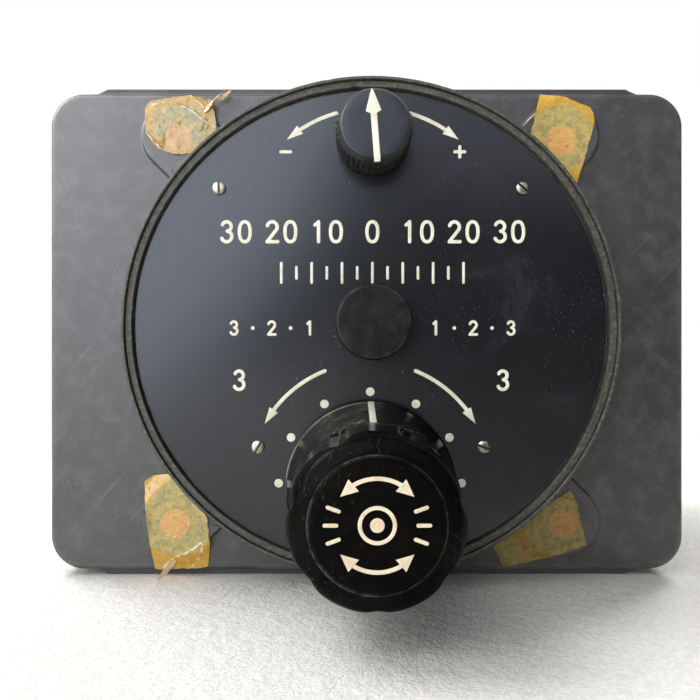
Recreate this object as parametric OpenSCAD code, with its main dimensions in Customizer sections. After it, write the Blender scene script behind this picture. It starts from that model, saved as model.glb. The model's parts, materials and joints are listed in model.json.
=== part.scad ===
// Panel controller for an automatic pilot: a cast case with a round dial plate
// in a bezel, a push and turn knob, an alignment knob and a gain knob.
// The origin is the centre of the four panel bolts, on the faces of the lugs.
// X points right, Y points back into the panel and Z points up.

/* [Case] */
// Width of the case
case_w = 178; // [174:1:184]
// Height of the case without its rails
case_h = 134; // [132:1:138]
// Depth of the case from its front face to its back edge
case_d = 101.6; // [95:0.2:120]
// Radius of the four upright corners
case_r = 9.3; // [6:0.1:12]
// Thickness of the case walls
case_wall = 2.5; // [2:0.1:3]
// Sideways offset of the case from the dial centre
case_x = -0.9; // [-1.5:0.1:0]
// Height offset of the case from the dial centre
case_z = -1; // [-1.5:0.1:0]
// Bevel around the front face
case_bevel = 0.9; // [0.4:0.1:1.4]
// Length of the raised rail on the top and on the bottom
rail_w = 153; // [120:1:155]
// Height of the rails
rail_t = 1.6; // [1:0.1:2]
// Thickness of the rear cover
cover_t = 2; // [1.5:0.1:3]

/* [Panel fixing] */
// Distance between the bolt holes, along and up
bolt_pitch = 107.95; // [107:0.05:109]
// Radius of the threaded hole in each insert
bolt_r = 2.05; // [1.9:0.01:2.1]
// Outer radius of each insert
insert_r = 4; // [3.5:0.1:4.5]
// Radius of the round end of each lug
lug_r = 10; // [9:0.5:12]
// Height of the lugs above the case face
lug_t = 1.6; // [1.2:0.1:2]
// Gap between the lugs and the bezel
lug_gap = 1.8; // [1.6:0.1:2.5]

/* [Dial] */
// Outer radius of the bezel
bezel_r = 66.8; // [66.5:0.1:67.5]
// Height of the bezel in front of the lugs
bezel_h = 10.2; // [9:0.1:12]
// Radius of the dial plate
plate_r = 63.9; // [63.5:0.1:64]
// Thickness of the dial plate
plate_t = 3.2; // [2.5:0.1:3.5]
// Depth of the dial plate behind the front of the bezel
plate_sink = 3; // [2:0.1:3.5]
// Radius of the opening behind the dial plate
throat_r = 62; // [61.8:0.1:62.2]

/* [Turn knob] */
// Radius of the skirt's rim
skirt_r = 22.4; // [21:0.1:23]
// Radius of the top of the skirt
skirt_top_r = 18.7; // [18:0.1:19]
// Radius of the lobes of the grip
lobe_r = 19.1; // [18.8:0.1:19.5]
// Depth of the hollows between the lobes
hollow_d = 1.15; // [0.6:0.05:1.5]
// Number of lobes
lobes = 7; // [5:1:9]
// Travel of the knob when it is pushed
push = 2; // [1:0.5:3]
// Radius of the cap in the face of the knob
cap_r = 14.3; // [12:0.1:15]

/* [Small knobs] */
// Radius of the gain knob and the alignment knob
small_r = 10; // [9.6:0.1:10.4]
// Height of the gain knob above the plate
gain_h = 14.2; // [12:0.1:15]
// Height of the alignment knob above the plate
align_h = 12.4; // [11:0.1:15]
// Angle of the arrow on the gain knob, to the left of upright
arrow_tilt = 4.4; // [-20:0.2:20]

/* [Gears] */
// Tooth size, as pitch diameter over teeth
gear_m = 0.8; // [0.6:0.1:0.8]
// Teeth on the turn gear
turn_teeth = 46; // [40:2:46]
// Teeth on the pinion of the turn transmitter
turn_pinion_teeth = 36; // [24:2:36]
// Teeth on the alignment gear
align_teeth = 30; // [24:2:30]
// Teeth on the wheel of the alignment transmitter
align_wheel_teeth = 45; // [40:1:45]

/* [Hidden] */
$fn = 96;

// Depths along Y
case_y = lug_t;
wall_y = case_y + case_wall;
case_back = case_y + case_d;
gasket_t = 0.8;
cover_y = case_back + gasket_t;
cover_back = cover_y + cover_t;
bezel_y = -bezel_h;
plate_y = bezel_y + plate_sink;
plate_back = plate_y + plate_t;
deck_t = 2;
deck1_y = 9;
deck2_y = 21;
deck_r = 57.5;
gear_y = 13;
gear_t = 4;

// Centres of the controls, seen from the front as right and up
turn_at = [-0.2, -42.2];
align_at = [0.4, 1];
gain_at = [0.5, 50.6];

// Transmitters sit where their gears mesh
turn_mesh = 35;
align_mesh = 153;
turn_gap = gear_m * (turn_teeth + turn_pinion_teeth) / 2;
align_gap = gear_m * (align_teeth + align_wheel_teeth) / 2;
turn_tx_at = turn_at + turn_gap * [cos(turn_mesh), sin(turn_mesh)];
align_tx_at = align_at + align_gap * [cos(align_mesh), sin(align_mesh)];

// Heights on the turn knob above the plate
rim_lo = plate_sink + push + 0.2;
rim_hi = rim_lo + 1.5;
skirt_top = 27;
grip_top = 49.8;
cap_sink = 0.3;
cap_t = 1.6;
well_h = 20;
well_r = 13;
bore_h = 39;
screw_h = 33;

// Shafts and their bearings
turn_shaft_r = 3.95;
sleeve_in = 4;
sleeve_r = 5.5;
bush_in = 5.55;
bush_r = 7.5;
quarter_r = 3.17;
quarter_in = 3.21;
nose_r = 4.7;
rotor_r = 2.38;
rotor_in = 2.43;
sleeve_end = 34;
shaft_end = 39;
pin_r = 1;
pin_y = 28;

// Places of the fasteners
face_screws_at = [[40.9, 37.4], [-40.9, 37.4], [30.4, -32.4], [-30.4, -32.4]];
spacers_at = [[44, 30], [-46, 34], [52, -12], [-42, -30]];
bezel_screws_at = [for (i = [0:7]) 63.7 * [cos(22.5 + 45 * i), sin(22.5 + 45 * i)]];
insert_d = 12;
insert_boss_r = 8;
cover_boss_y = 78;
cover_screw_len = 16;
cover_screw_x = 81;
cover_screw_z = 59;
cover_screws_at = [for (i = [-1:1], k = [-1:1]) if (i != 0 || k != 0)
    [case_x + i * cover_screw_x, case_z + k * cover_screw_z]];
lugs_at = [for (i = [-1, 1], k = [-1, 1]) [i, k] * bolt_pitch / 2];

// Rear connector
conn_at = [0, -22];
conn_flange = 35;
conn_pitch = 26.97;
conn_thread_r = 14.29;
conn_bore_r = 12.6;
conn_start = 95;
conn_end = 127;
conn_core = [96, 114];
conn_pins_y = [90, 121];
conn_pin_r = 1;
conn_pin_ring = 7.2;

// Transmitters, switch and terminal board
tx_r = 19;
tx_flange_r = 20.5;
tx_end = 62;
cleat_ring = 22.9;
switch_y = 43;
switch_size = [16, 24, 20];
board_at = [30, 24];
board_y = 30;
board_size = [42, 20];

// Shared forms

// A flat outline, seen from the front, filled from depth y0 to depth y1
module slab(y0, y1) {
    translate([0, y1, 0]) rotate([90, 0, 0]) linear_extrude(y1 - y0) children();
}

// A round bar along Y
module rod(r, y0, y1) {
    translate([0, y1, 0]) rotate([90, 0, 0]) cylinder(r = r, h = y1 - y0);
}

// A profile of [radius, depth] points turned about Y
module turned(points) {
    rotate([-90, 0, 0]) rotate_extrude() polygon(points);
}

// A tube along Y
module tube(r, bore, y0, y1) {
    difference() {
        rod(r, y0, y1);
        rod(bore, y0 - 1, y1 + 1);
    }
}

// Children moved to a place seen from the front
module at(p) {
    translate([p.x, 0, p.y]) children();
}

// Children at each place in a list
module each_at(places) {
    for (p = places) at(p) children();
}

// A rectangle with round corners
module rounded_rect(w, h, r) {
    square([w - 2 * r, h], center = true);
    square([w, h - 2 * r], center = true);
    for (i = [-1, 1], k = [-1, 1])
        translate([i * (w / 2 - r), k * (h / 2 - r)]) circle(r);
}

// A block with round upright corners and a bevel around its front face
module bevelled_block(w, h, r, bevel, y0, y1) {
    side = [[y0, h / 2 - bevel], [y0 + bevel, h / 2], [y1, h / 2],
        [y1, -h / 2], [y0 + bevel, -h / 2], [y0, bevel - h / 2]];
    plan = [[w / 2 - bevel, y0], [w / 2, y0 + bevel], [w / 2, y1],
        [-w / 2, y1], [-w / 2, y0 + bevel], [bevel - w / 2, y0]];
    translate([r - w / 2, 0, 0]) rotate([90, 0, 90]) linear_extrude(w - 2 * r) polygon(side);
    translate([0, 0, r - h / 2]) linear_extrude(h - 2 * r) polygon(plan);
    for (i = [-1, 1], k = [-1, 1]) at([i * (w / 2 - r), k * (h / 2 - r)])
        turned([[0, y0], [r - bevel, y0], [r, y0 + bevel], [r, y1], [0, y1]]);
}

// Corners of one gear: four for each tooth, thin enough to leave some play
function gear_points(teeth) = [for (i = [0:teeth - 1], p = [[-0.3, -1.1], [-0.13, 0.8], [0.13, 0.8], [0.3, -1.1]])
    let (a = (i + p[0]) * 360 / teeth, r = gear_m * (teeth / 2 + p[1])) r * [cos(a), sin(a)]];

// A screw along Y: a slotted head in front of depth y, a shank behind it
module slotted_screw(y, head_r, head_t, shank_r, length, slot = 0.6) {
    difference() {
        union() {
            turned([[0, y - head_t], [head_r - 0.35, y - head_t], [head_r, y - head_t + 0.35],
                [head_r, y], [0, y]]);
            rod(shank_r, y, y + length);
        }
        translate([-head_r - 1, y - head_t - 1, -slot / 2])
            cube([2 * head_r + 2, 1 + head_t * 0.55, slot]);
    }
}

// The same screw with its head to the rear of depth y
module rear_screw(y, head_r, head_t, shank_r, length) {
    mirror([0, 1, 0]) slotted_screw(-y, head_r, head_t, shank_r, length);
}

// One closed tube through a list of rings of points
module skin_tube(rings) {
    n = len(rings[0]);
    m = len(rings);
    sides = [for (i = [0:m - 2], k = [0:n - 1]) let (a = i * n + k, b = i * n + (k + 1) % n)
        each [[a, b, b + n], [a, b + n, a + n]]];
    ends = [[for (k = [n - 1:-1:0]) k], [for (k = [0:n - 1]) (m - 1) * n + k]];
    polyhedron([for (ring = rings) each ring], concat(sides, ends));
}

// Case, cover and bezel

// Trapezoid of one rail, seen from the front, standing on z = 0
module rail() {
    polygon([[-rail_w / 2, -0.5], [-rail_w / 2, 0], [rail_t * 2 - rail_w / 2, rail_t],
        [rail_w / 2 - rail_t * 2, rail_t], [rail_w / 2, 0], [rail_w / 2, -0.5]]);
}

// Outline of one lug: a round end on a straight arm that points to the dial
module lug(i, k) {
    half = lug_r - 0.1;
    translate([i, k] * bolt_pitch / 2) circle(lug_r);
    rotate(atan2(k, i)) translate([bolt_pitch / sqrt(2) - 14, -half]) square([14, 2 * half]);
}

module case_body() color([0.33, 0.33, 0.32]) {
    boss_r = 5.8;
    difference() {
        union() {
            difference() {
                at([case_x, case_z]) {
                    bevelled_block(case_w, case_h, case_r, case_bevel, case_y, case_back);
                    for (flip = [0, 1]) mirror([0, 0, flip]) translate([0, 0, case_h / 2])
                        slab(case_y + 1, case_back - 3) rail();
                }
                at([case_x, case_z]) slab(wall_y, case_back + 1)
                    rounded_rect(case_w - 2 * case_wall, case_h - 2 * case_wall, case_r - case_wall);
            }
            difference() {
                slab(0, case_y + 0.5) intersection() {
                    union() {
                        for (i = [-1, 1], k = [-1, 1]) lug(i, k);
                    }
                    translate([case_x, case_z]) rounded_rect(case_w - 2, case_h - 2, case_r - 1);
                }
                rod(bezel_r + lug_gap, -1, case_y + 1);
            }
            each_at(lugs_at) rod(insert_boss_r, wall_y - 0.5, insert_d + 2);
            each_at(cover_screws_at) rod(boss_r, cover_boss_y, case_back);
        }
        rod(throat_r, -1, wall_y + 1);
        each_at(lugs_at) rod(insert_r, -1, insert_d);
        each_at(cover_screws_at) rod(1.45, case_back - cover_screw_len, case_back + 1);
        each_at(bezel_screws_at) rod(1.2, 0, wall_y + 1);
    }
}

module mount_inserts() color([0.55, 0.47, 0.3]) {
    each_at(lugs_at) tube(insert_r, bolt_r, 0, insert_d);
}

module rear_cover() color([0.3, 0.3, 0.29]) {
    difference() {
        at([case_x, case_z]) slab(cover_y, cover_back) rounded_rect(case_w, case_h, case_r);
        each_at(cover_screws_at) rod(1.9, cover_y - 1, cover_back + 1);
        at(conn_at) {
            rod(conn_thread_r, cover_y - 1, cover_back + 1);
            for (i = [-1, 1], k = [-1, 1]) at([i, k] * conn_pitch / 2) rod(1.2, cover_y - 1, cover_back + 1);
        }
    }
}

module cover_gasket() color([0.12, 0.12, 0.12]) {
    border = 2 * case_wall + 20;
    difference() {
        at([case_x, case_z]) slab(case_back, cover_y) rounded_rect(case_w - 0.6, case_h - 0.6, case_r - 0.3);
        at([case_x, case_z]) slab(case_back - 1, cover_y + 1)
            rounded_rect(case_w - border, case_h - border, 2);
        each_at(cover_screws_at) rod(1.9, case_back - 1, cover_y + 1);
    }
}

module cover_screws() color([0.6, 0.6, 0.58]) {
    each_at(cover_screws_at) rear_screw(cover_back, 3.2, 2.2, 1.45, cover_screw_len);
}

module bezel_ring() color([0.2, 0.2, 0.17]) {
    lip = 65.75;
    seat = 65.1;
    difference() {
        turned([[lip + 0.25, bezel_y], [bezel_r - 0.3, bezel_y], [bezel_r, bezel_y + 0.3],
            [bezel_r, 0], [seat, 0], [seat, case_y], [throat_r, case_y],
            [throat_r, plate_back], [lip, plate_back],
            [lip, bezel_y + 0.25]]);
        each_at(bezel_screws_at) rod(1.05, -2.5, case_y + 1);
    }
}

module bezel_screws() color([0.6, 0.6, 0.58]) {
    each_at(bezel_screws_at) rear_screw(wall_y, 2, 1.6, 1.05, 6);
}

module retaining_ring() color([0.2, 0.2, 0.17]) {
    outer = 65.65;
    inner = 64.15;
    turned([[inner + 0.2, bezel_y], [outer - 0.25, bezel_y], [outer, bezel_y + 0.25],
        [outer, plate_back], [inner, plate_back], [inner, bezel_y + 0.2]]);
}

// Dial plate and its marks

// Arrow that follows an arc: the shaft starts and the tip ends at angles right of upright
module arc_arrow(centre, r, from, to) {
    head = 4.4;
    head_w = 1.35;
    line_w = 0.5;
    neck = to - head / r * 180 / PI;
    tip = r * [sin(to), cos(to)];
    mid = r * [sin(neck + 1.2), cos(neck + 1.2)];
    out = [sin(neck), cos(neck)];
    inner_arc = [for (i = [0:12]) let (a = from + (neck + 1.2 - from) * i / 12) (r - line_w) * [sin(a), cos(a)]];
    outer_arc = [for (i = [12:-1:0]) let (a = from + (neck + 1.2 - from) * i / 12) (r + line_w) * [sin(a), cos(a)]];
    translate(centre) {
        polygon(concat(inner_arc, outer_arc));
        polygon([tip, (r + head_w) * out, mid, (r - head_w) * out]);
    }
}

// Everything filled with light paint on the dial plate
module marks_outline() {
    dots_r = 24.7;
    for (a = [-90:30:90]) translate(turn_at + dots_r * [sin(a), cos(a)]) circle(1.16);
    for (flip = [0, 1]) {
        translate([turn_at.x, 0]) mirror([flip, 0]) arc_arrow([0, turn_at.y], 32.7, 22, 60.5);
        translate([gain_at.x, 0]) mirror([flip, 0]) arc_arrow([0, 23.3], 35.8, 16, 40.3);
        translate([gain_at.x, 0]) mirror([flip, 0]) translate([23.5, 47.3]) square([5, 0.9], center = true);
    }
    translate([gain_at.x + 23.5, 47.3]) square([0.9, 5], center = true);
}

module face_plate() color([0.11, 0.12, 0.14]) {
    difference() {
        turned([[0, plate_y], [plate_r - 0.3, plate_y], [plate_r, plate_y + 0.3],
            [plate_r, plate_back], [0, plate_back]]);
        at(turn_at) rod(bush_r + 0.1, plate_y - 1, plate_back + 1);
        each_at([align_at, gain_at]) rod(nose_r + 0.1, plate_y - 1, plate_back + 1);
        each_at(face_screws_at) rod(1.3, plate_y - 1, plate_back + 1);
        slab(plate_y - 1, plate_y + 0.3) marks_outline();
    }
}

module plate_marks() color([0.93, 0.91, 0.8]) {
    slab(plate_y, plate_y + 0.3) marks_outline();
}

module face_screws() color([0.7, 0.7, 0.7]) {
    each_at(face_screws_at) rotate([0, 25, 0]) slotted_screw(plate_y, 1.7, 1.1, 1.1, 7);
}

module face_posts() color([0.66, 0.6, 0.4]) {
    each_at(face_screws_at) difference() {
        union() {
            rod(3.2, plate_back, deck1_y);
            rod(1.2, deck1_y - 1, deck1_y + deck_t);
        }
        rod(1.1, plate_back - 1, plate_back + 6);
    }
}

// Pieces of tape over the panel holes, each a thin sheet on its lug
module seal_tapes() color([0.72, 0.6, 0.3]) {
    upper_left = [[-63, 61.4], [-61.3, 63.4], [-50.4, 65], [-42.8, 63], [-38, 56], [-46, 46],
        [-54.3, 48.3], [-59.3, 50], [-62.7, 54.2]];
    upper_right = [[47.5, 65.2], [54.2, 64.2], [62.6, 60.3], [62.3, 56.4], [58.4, 40.6],
        [52, 38], [41, 52], [46.1, 59.8]];
    lower_left = [[-63.5, -43.7], [-62.1, -55.4], [-60.2, -67], [-46, -67], [-44.8, -61.3],
        [-44, -50], [-55, -38]];
    lower_right = [[55.9, -45.6], [60.3, -60.5], [48.3, -64.4], [37.4, -67], [34.8, -61.6],
        [34, -55], [53, -41]];
    difference() {
        for (sheet = [upper_left, upper_right, lower_left, lower_right]) slab(-0.3, 0) polygon(sheet);
        rod(bezel_r + lug_gap, -1, 1);
    }
}

// Decks that carry the gears

module deck(y0) {
    slab(y0, y0 + deck_t) difference() {
        circle(deck_r);
        translate(turn_at) circle(bush_r);
    }
}

module front_deck() color([0.62, 0.62, 0.6]) {
    difference() {
        deck(deck1_y);
        at(gain_at) rod(12, deck1_y - 1, deck2_y);
        at(align_at) rod(5, deck1_y - 1, deck2_y);
        each_at(face_screws_at) rod(1.2, deck1_y - 1, deck2_y);
        each_at(spacers_at) rod(1.4, deck1_y - 1, deck2_y);
    }
}

module rear_deck() color([0.62, 0.62, 0.6]) {
    difference() {
        deck(deck2_y);
        each_at([turn_tx_at, align_tx_at]) rod(6, deck2_y - 1, deck2_y + 9);
        at(align_at) rod(quarter_in, deck2_y - 1, deck2_y + 9);
        each_at(spacers_at) rod(1.5, deck2_y - 1, deck2_y + 9);
    }
}

module deck_spacers() color([0.66, 0.6, 0.4]) {
    each_at(spacers_at) tube(3.5, 1.4, deck1_y + deck_t, deck2_y);
}

module deck_screws() color([0.6, 0.6, 0.58]) {
    each_at(spacers_at) rear_screw(deck2_y + deck_t, 2.8, 1.8, 1.4, 14);
}

// Stops for the two gears, and the pivot of the detent arm
turn_stop_ring = 14;
align_stop_ring = 8.5;
detent_pivot_at = turn_at + [-19.8, 18.2];
detent_roller_at = turn_at + [0, 14.2];

module deck_pins() color([0.7, 0.7, 0.72]) {
    y0 = deck1_y + deck_t;
    for (a = [-100.5, 100.5]) at(turn_at + turn_stop_ring * [sin(a), cos(a)]) rod(1.2, y0, y0 + 1.6);
    at(align_at + [0, align_stop_ring]) rod(1, y0, y0 + 1.6);
    at(detent_pivot_at) rod(1.5, deck2_y - 3, deck2_y);
}

// Turn knob, on its shaft

function up(h) = plate_y - h;

// Outline of the grip: round lobes with a soft hollow between each two
function grip_r(a) = let (step = 360 / lobes, off = (a - 270.5) - step * round((a - 270.5) / step))
    lobe_r - hollow_d * exp(-pow(off / 7.5, 2));

module grip_outline() {
    polygon([for (a = [0:3:357]) grip_r(a) * [cos(a), sin(a)]]);
}

module knob_blank() {
    turned([[0, up(rim_lo)], [skirt_r - 0.4, up(rim_lo)], [skirt_r, up(rim_lo + 0.4)],
        [skirt_r, up(rim_hi)], [skirt_r - 0.3, up(rim_hi + 0.4)], [skirt_top_r, up(skirt_top)],
        [0, up(skirt_top)]]);
    intersection() {
        slab(up(grip_top), up(skirt_top)) grip_outline();
        turned([[0, up(skirt_top - 1)], [lobe_r + 1, up(skirt_top - 1)], [lobe_r + 1, up(46.5)],
            [19, up(46.9)], [18.5, up(48)], [17.6, up(48.9)], [cap_r + 0.5, up(grip_top)],
            [0, up(grip_top)]]);
    }
}

module set_screw_holes(r, from, to) {
    for (a = [0, 2]) at(turn_at) translate([0, up(screw_h), 0])
        rotate([0, -(270.5 + a * 360 / lobes), 0]) rotate([0, 90, 0])
            translate([0, 0, from]) cylinder(r = r, h = to - from);
}

module turn_knob() color([0.07, 0.07, 0.075]) {
    difference() {
        at(turn_at) knob_blank();
        at(turn_at) {
            rod(well_r, up(well_h), up(0));
            rod(6.5, up(bore_h + 1), up(well_h - 1));
            rod(cap_r, up(grip_top + 1), up(grip_top - cap_sink - cap_t));
        }
        set_screw_holes(1.6, 6, lobe_r + 1);
        pointer_shape();
    }
}

// The pointer line: a narrow bar let into the slope of the skirt
module pointer_shape() {
    top = skirt_top - 0.5;
    at(turn_at) intersection() {
        translate([-0.8, up(top), 12]) cube([1.6, top - rim_lo - 0.2, 12]);
        difference() {
            turned([[0, up(rim_lo)], [skirt_r + 1, up(rim_lo)], [skirt_r + 1, up(rim_hi)],
                [lobe_r + 1, up(skirt_top)], [0, up(skirt_top)]]);
            turned([[0, up(0)], [skirt_r - 0.7, up(0)], [skirt_r - 0.7, up(rim_hi)],
                [skirt_top_r - 0.4, up(skirt_top)], [0, up(skirt_top)]]);
        }
    }
}

module pointer_line() color([0.93, 0.91, 0.8]) {
    intersection() {
        pointer_shape();
        at(turn_at) knob_blank();
    }
}

module knob_cap() color([0.05, 0.05, 0.055]) {
    at(turn_at) rod(cap_r, up(grip_top - cap_sink), up(grip_top - cap_sink - cap_t));
}

module knob_insert() color([0.66, 0.56, 0.3]) {
    difference() {
        at(turn_at) {
            difference() {
                rod(6.5, up(bore_h + 1), up(well_h));
                rod(turn_shaft_r, up(bore_h), up(well_h - 1));
            }
        }
        set_screw_holes(1.6, turn_shaft_r - 1, 8);
    }
}

module knob_set_screws() color([0.35, 0.35, 0.36]) {
    set_screw_holes(1.6, turn_shaft_r + 0.02, 11);
}

module turn_shaft() color([0.7, 0.7, 0.72]) {
    difference() {
        at(turn_at) rod(turn_shaft_r, up(bore_h), shaft_end);
        at(turn_at) translate([-9, pin_y, 0]) rotate([0, 90, 0]) cylinder(r = pin_r, h = 18);
    }
}

module drive_pin() color([0.7, 0.7, 0.72]) {
    at(turn_at) translate([-6.4, pin_y, 0]) rotate([0, 90, 0]) cylinder(r = pin_r, h = 12.8);
}

module shaft_collar() color([0.6, 0.6, 0.6]) {
    at(turn_at) tube(7, turn_shaft_r, sleeve_end + 1, shaft_end - 1);
}

// Compression spring inside the knob: rings of wire points along a helix about Y
spring_mean_r = 9;
wire_r = 0.7;
spring_y0 = up(well_h) + wire_r + 0.05;
spring_y1 = plate_y - 0.8 - wire_r - 0.1;
spring_turns = 6;
spring_steps = 20;
spring_rings = [for (i = [0:spring_turns * spring_steps]) let (a = i * 360 / spring_steps,
    y = spring_y0 + (spring_y1 - spring_y0) * i / (spring_turns * spring_steps))
    [for (k = [0:5]) let (r = spring_mean_r + wire_r * cos(60 * k))
        [r * cos(a), y + wire_r * sin(60 * k), r * sin(a)]]];

module return_spring() color([0.6, 0.6, 0.62]) {
    at(turn_at) skin_tube(spring_rings);
}

module spring_washer() color([0.7, 0.7, 0.72]) {
    at(turn_at) tube(11.5, 5.8, plate_y - 0.8, plate_y);
}

module turn_bushing() color([0.66, 0.56, 0.3]) {
    at(turn_at) difference() {
        turned([[0, plate_y], [bush_r, plate_y], [bush_r, 6.5], [11, 6.5], [11, deck1_y],
            [bush_r, deck1_y], [bush_r, deck1_y + deck_t], [0, deck1_y + deck_t]]);
        rod(bush_in, plate_y - 1, deck1_y + deck_t + 1);
    }
}

module turn_sleeve() color([0.68, 0.68, 0.7]) {
    at(turn_at) difference() {
        tube(sleeve_r, sleeve_in, plate_y - 2.2, sleeve_end);
        translate([-sleeve_r - 1, pin_y - 1.5, -pin_r - 0.05])
            cube([2 * sleeve_r + 2, sleeve_end, 2 * pin_r + 0.1]);
    }
}

module turn_gear() color([0.72, 0.6, 0.3]) {
    at(turn_at) {
        difference() {
            slab(gear_y, gear_y + gear_t) rotate(turn_mesh) polygon(gear_points(turn_teeth));
            rod(sleeve_r, gear_y - 1, gear_y + gear_t + 1);
        }
        at([0, turn_stop_ring]) rod(1.2, gear_y - 1.6, gear_y + 0.5);
    }
}

module detent_cam() color([0.6, 0.6, 0.6]) {
    at(turn_at) slab(gear_y + gear_t + 0.2, gear_y + gear_t + 2.4) difference() {
        circle(11);
        circle(sleeve_r);
        polygon([[0, 9.6], [2.2, 11.6], [-2.2, 11.6]]);
    }
}

module sleeve_clip() color([0.5, 0.5, 0.5]) {
    at(turn_at) tube(8, sleeve_r, deck2_y + deck_t + 1.3, deck2_y + deck_t + 2.3);
}

module rear_bush() color([0.66, 0.56, 0.3]) {
    at(turn_at) difference() {
        turned([[0, deck2_y], [bush_r, deck2_y], [bush_r, deck2_y + deck_t],
            [9.5, deck2_y + deck_t], [9.5, deck2_y + deck_t + 1], [0, deck2_y + deck_t + 1]]);
        rod(bush_in, deck2_y - 1, deck2_y + deck_t + 2);
    }
}

module detent_arm() color([0.6, 0.6, 0.6]) {
    run = detent_roller_at - detent_pivot_at;
    difference() {
        union() {
            slab(deck2_y - 1.4, deck2_y - 0.4) {
                translate(detent_pivot_at) circle(3.5);
                translate(detent_roller_at) circle(2.4);
                translate(detent_pivot_at) rotate(atan2(run.y, run.x))
                    translate([0, -1.8]) square([norm(run), 3.6]);
            }
            at(detent_roller_at) rod(1, gear_y + gear_t + 0.2, deck2_y - 1);
        }
        at(detent_pivot_at) rod(1.55, deck2_y - 4, deck2_y + 1);
    }
}

module detent_roller() color([0.66, 0.56, 0.3]) {
    at(detent_roller_at) tube(3, 1, gear_y + gear_t + 0.3, deck2_y - 1.5);
}

// Switch that the turn shaft works

module switch_body() color([0.15, 0.1, 0.07]) {
    at(turn_at) difference() {
        translate([-switch_size.x / 2, switch_y, -switch_size.z / 2]) cube(switch_size);
        rod(2.05, switch_y - 1, switch_y + 11.5);
    }
}

module switch_plunger() color([0.7, 0.6, 0.35]) {
    at(turn_at) rod(2, shaft_end + 0.2, switch_y + 8);
}

module switch_bracket() color([0.62, 0.62, 0.6]) {
    floor_z = turn_at.y - switch_size.z / 2;
    deck_back = deck2_y + deck_t;
    translate([turn_at.x - 8, deck_back, floor_z - 1.5])
        cube([16, switch_y + switch_size.y - deck_back, 1.5]);
    translate([turn_at.x - 8, deck_back, floor_z - 4.3]) cube([16, 1.5, 3.3]);
}

// Transmitters

module transmitter(p) {
    at(p) difference() {
        turned([[0, deck2_y], [6, deck2_y], [6, deck2_y + deck_t], [tx_flange_r, deck2_y + deck_t],
            [tx_flange_r, deck2_y + deck_t + 2], [tx_r, deck2_y + deck_t + 2], [tx_r, tx_end - 1],
            [tx_r - 1, tx_end], [12, tx_end], [12, tx_end + 4], [0, tx_end + 4]]);
        rod(rotor_in, deck2_y - 1, tx_end - 1);
    }
}

module rotor(p, teeth, turn) {
    at(p) {
        rod(rotor_r, gear_y - 0.5, tx_end - 2);
        slab(gear_y, gear_y + gear_t) rotate(turn) polygon(gear_points(teeth));
        rod(5, gear_y + gear_t - 0.5, deck2_y - 1);
    }
}

module turn_transmitter() color([0.18, 0.18, 0.19]) transmitter(turn_tx_at);

module turn_rotor() color([0.72, 0.6, 0.3]) {
    rotor(turn_tx_at, turn_pinion_teeth, turn_mesh + 180 + 180 / turn_pinion_teeth);
}

module align_transmitter() color([0.18, 0.18, 0.19]) transmitter(align_tx_at);

module align_rotor() color([0.72, 0.6, 0.3]) {
    rotor(align_tx_at, align_wheel_teeth, align_mesh + 180 + 180 / align_wheel_teeth);
}

module transmitter_cleats() color([0.62, 0.62, 0.6]) {
    y0 = deck2_y + deck_t;
    for (p = [[turn_tx_at, 10], [align_tx_at, 60]], i = [0:2])
        let (a = p[1] + 120 * i)
        at(p[0] + cleat_ring * [cos(a), sin(a)])
            turned([[0, y0], [2.2, y0], [2.2, y0 + 2], [3.6, y0 + 2], [3.6, y0 + 3.8], [0, y0 + 3.8]]);
}

// Alignment knob and gain knob

// Body of a small knob: straight knurl, a smooth rim and a bevelled face
module small_knob(h, bevel) {
    knurls = 40;
    ridges = [for (i = [0:2 * knurls - 1]) let (r = small_r - (i % 2 == 0 ? 0.1 : 0.55), a = i * 180 / knurls)
        r * [cos(a), sin(a)]];
    difference() {
        union() {
            slab(up(h - 2), up(1)) polygon(ridges);
            turned([[0, up(h)], [small_r - bevel, up(h)], [small_r - 0.15, up(h - bevel)],
                [small_r - 0.15, up(h - 2)], [0, up(h - 2)]]);
        }
        rod(8, up(2.9), up(0));
        rod(quarter_r, up(10), up(0));
    }
}

module align_knob() color([0.09, 0.09, 0.09]) {
    at(align_at) small_knob(align_h, 0.35);
}

module align_shaft() color([0.7, 0.7, 0.72]) {
    at(align_at) rod(quarter_r, up(10), deck2_y + deck_t + 0.5);
}

module align_gear() color([0.72, 0.6, 0.3]) {
    at(align_at) {
        difference() {
            union() {
                slab(gear_y, gear_y + gear_t) rotate(align_mesh) polygon(gear_points(align_teeth));
                rod(6, gear_y + gear_t - 0.5, deck2_y - 1);
            }
            rod(quarter_r, gear_y - 1, deck2_y);
        }
        at([0, -align_stop_ring]) rod(1, gear_y - 1.6, gear_y + 0.5);
    }
}

module align_bushing() color([0.66, 0.56, 0.3]) {
    at(align_at) difference() {
        turned([[0, up(1.4)], [nose_r, up(1.4)], [nose_r, plate_back], [8, plate_back],
            [8, plate_back + 2], [0, plate_back + 2]]);
        rod(quarter_in, up(3), plate_back + 3);
    }
}

module panel_nuts() color([0.66, 0.56, 0.3]) {
    each_at([align_at, gain_at]) difference() {
        slab(up(1.4), plate_y) circle(r = 7.2, $fn = 6);
        rod(nose_r, up(3), plate_y + 1);
    }
}

// Outline of the arrow on the gain knob, pointing up
module arrow_outline() {
    polygon([[0, 9.8], [1.95, 3.3], [0.95, 2.7], [0.95, -9.3], [-0.95, -9.3], [-0.95, 2.7], [-1.95, 3.3]]);
}

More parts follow.
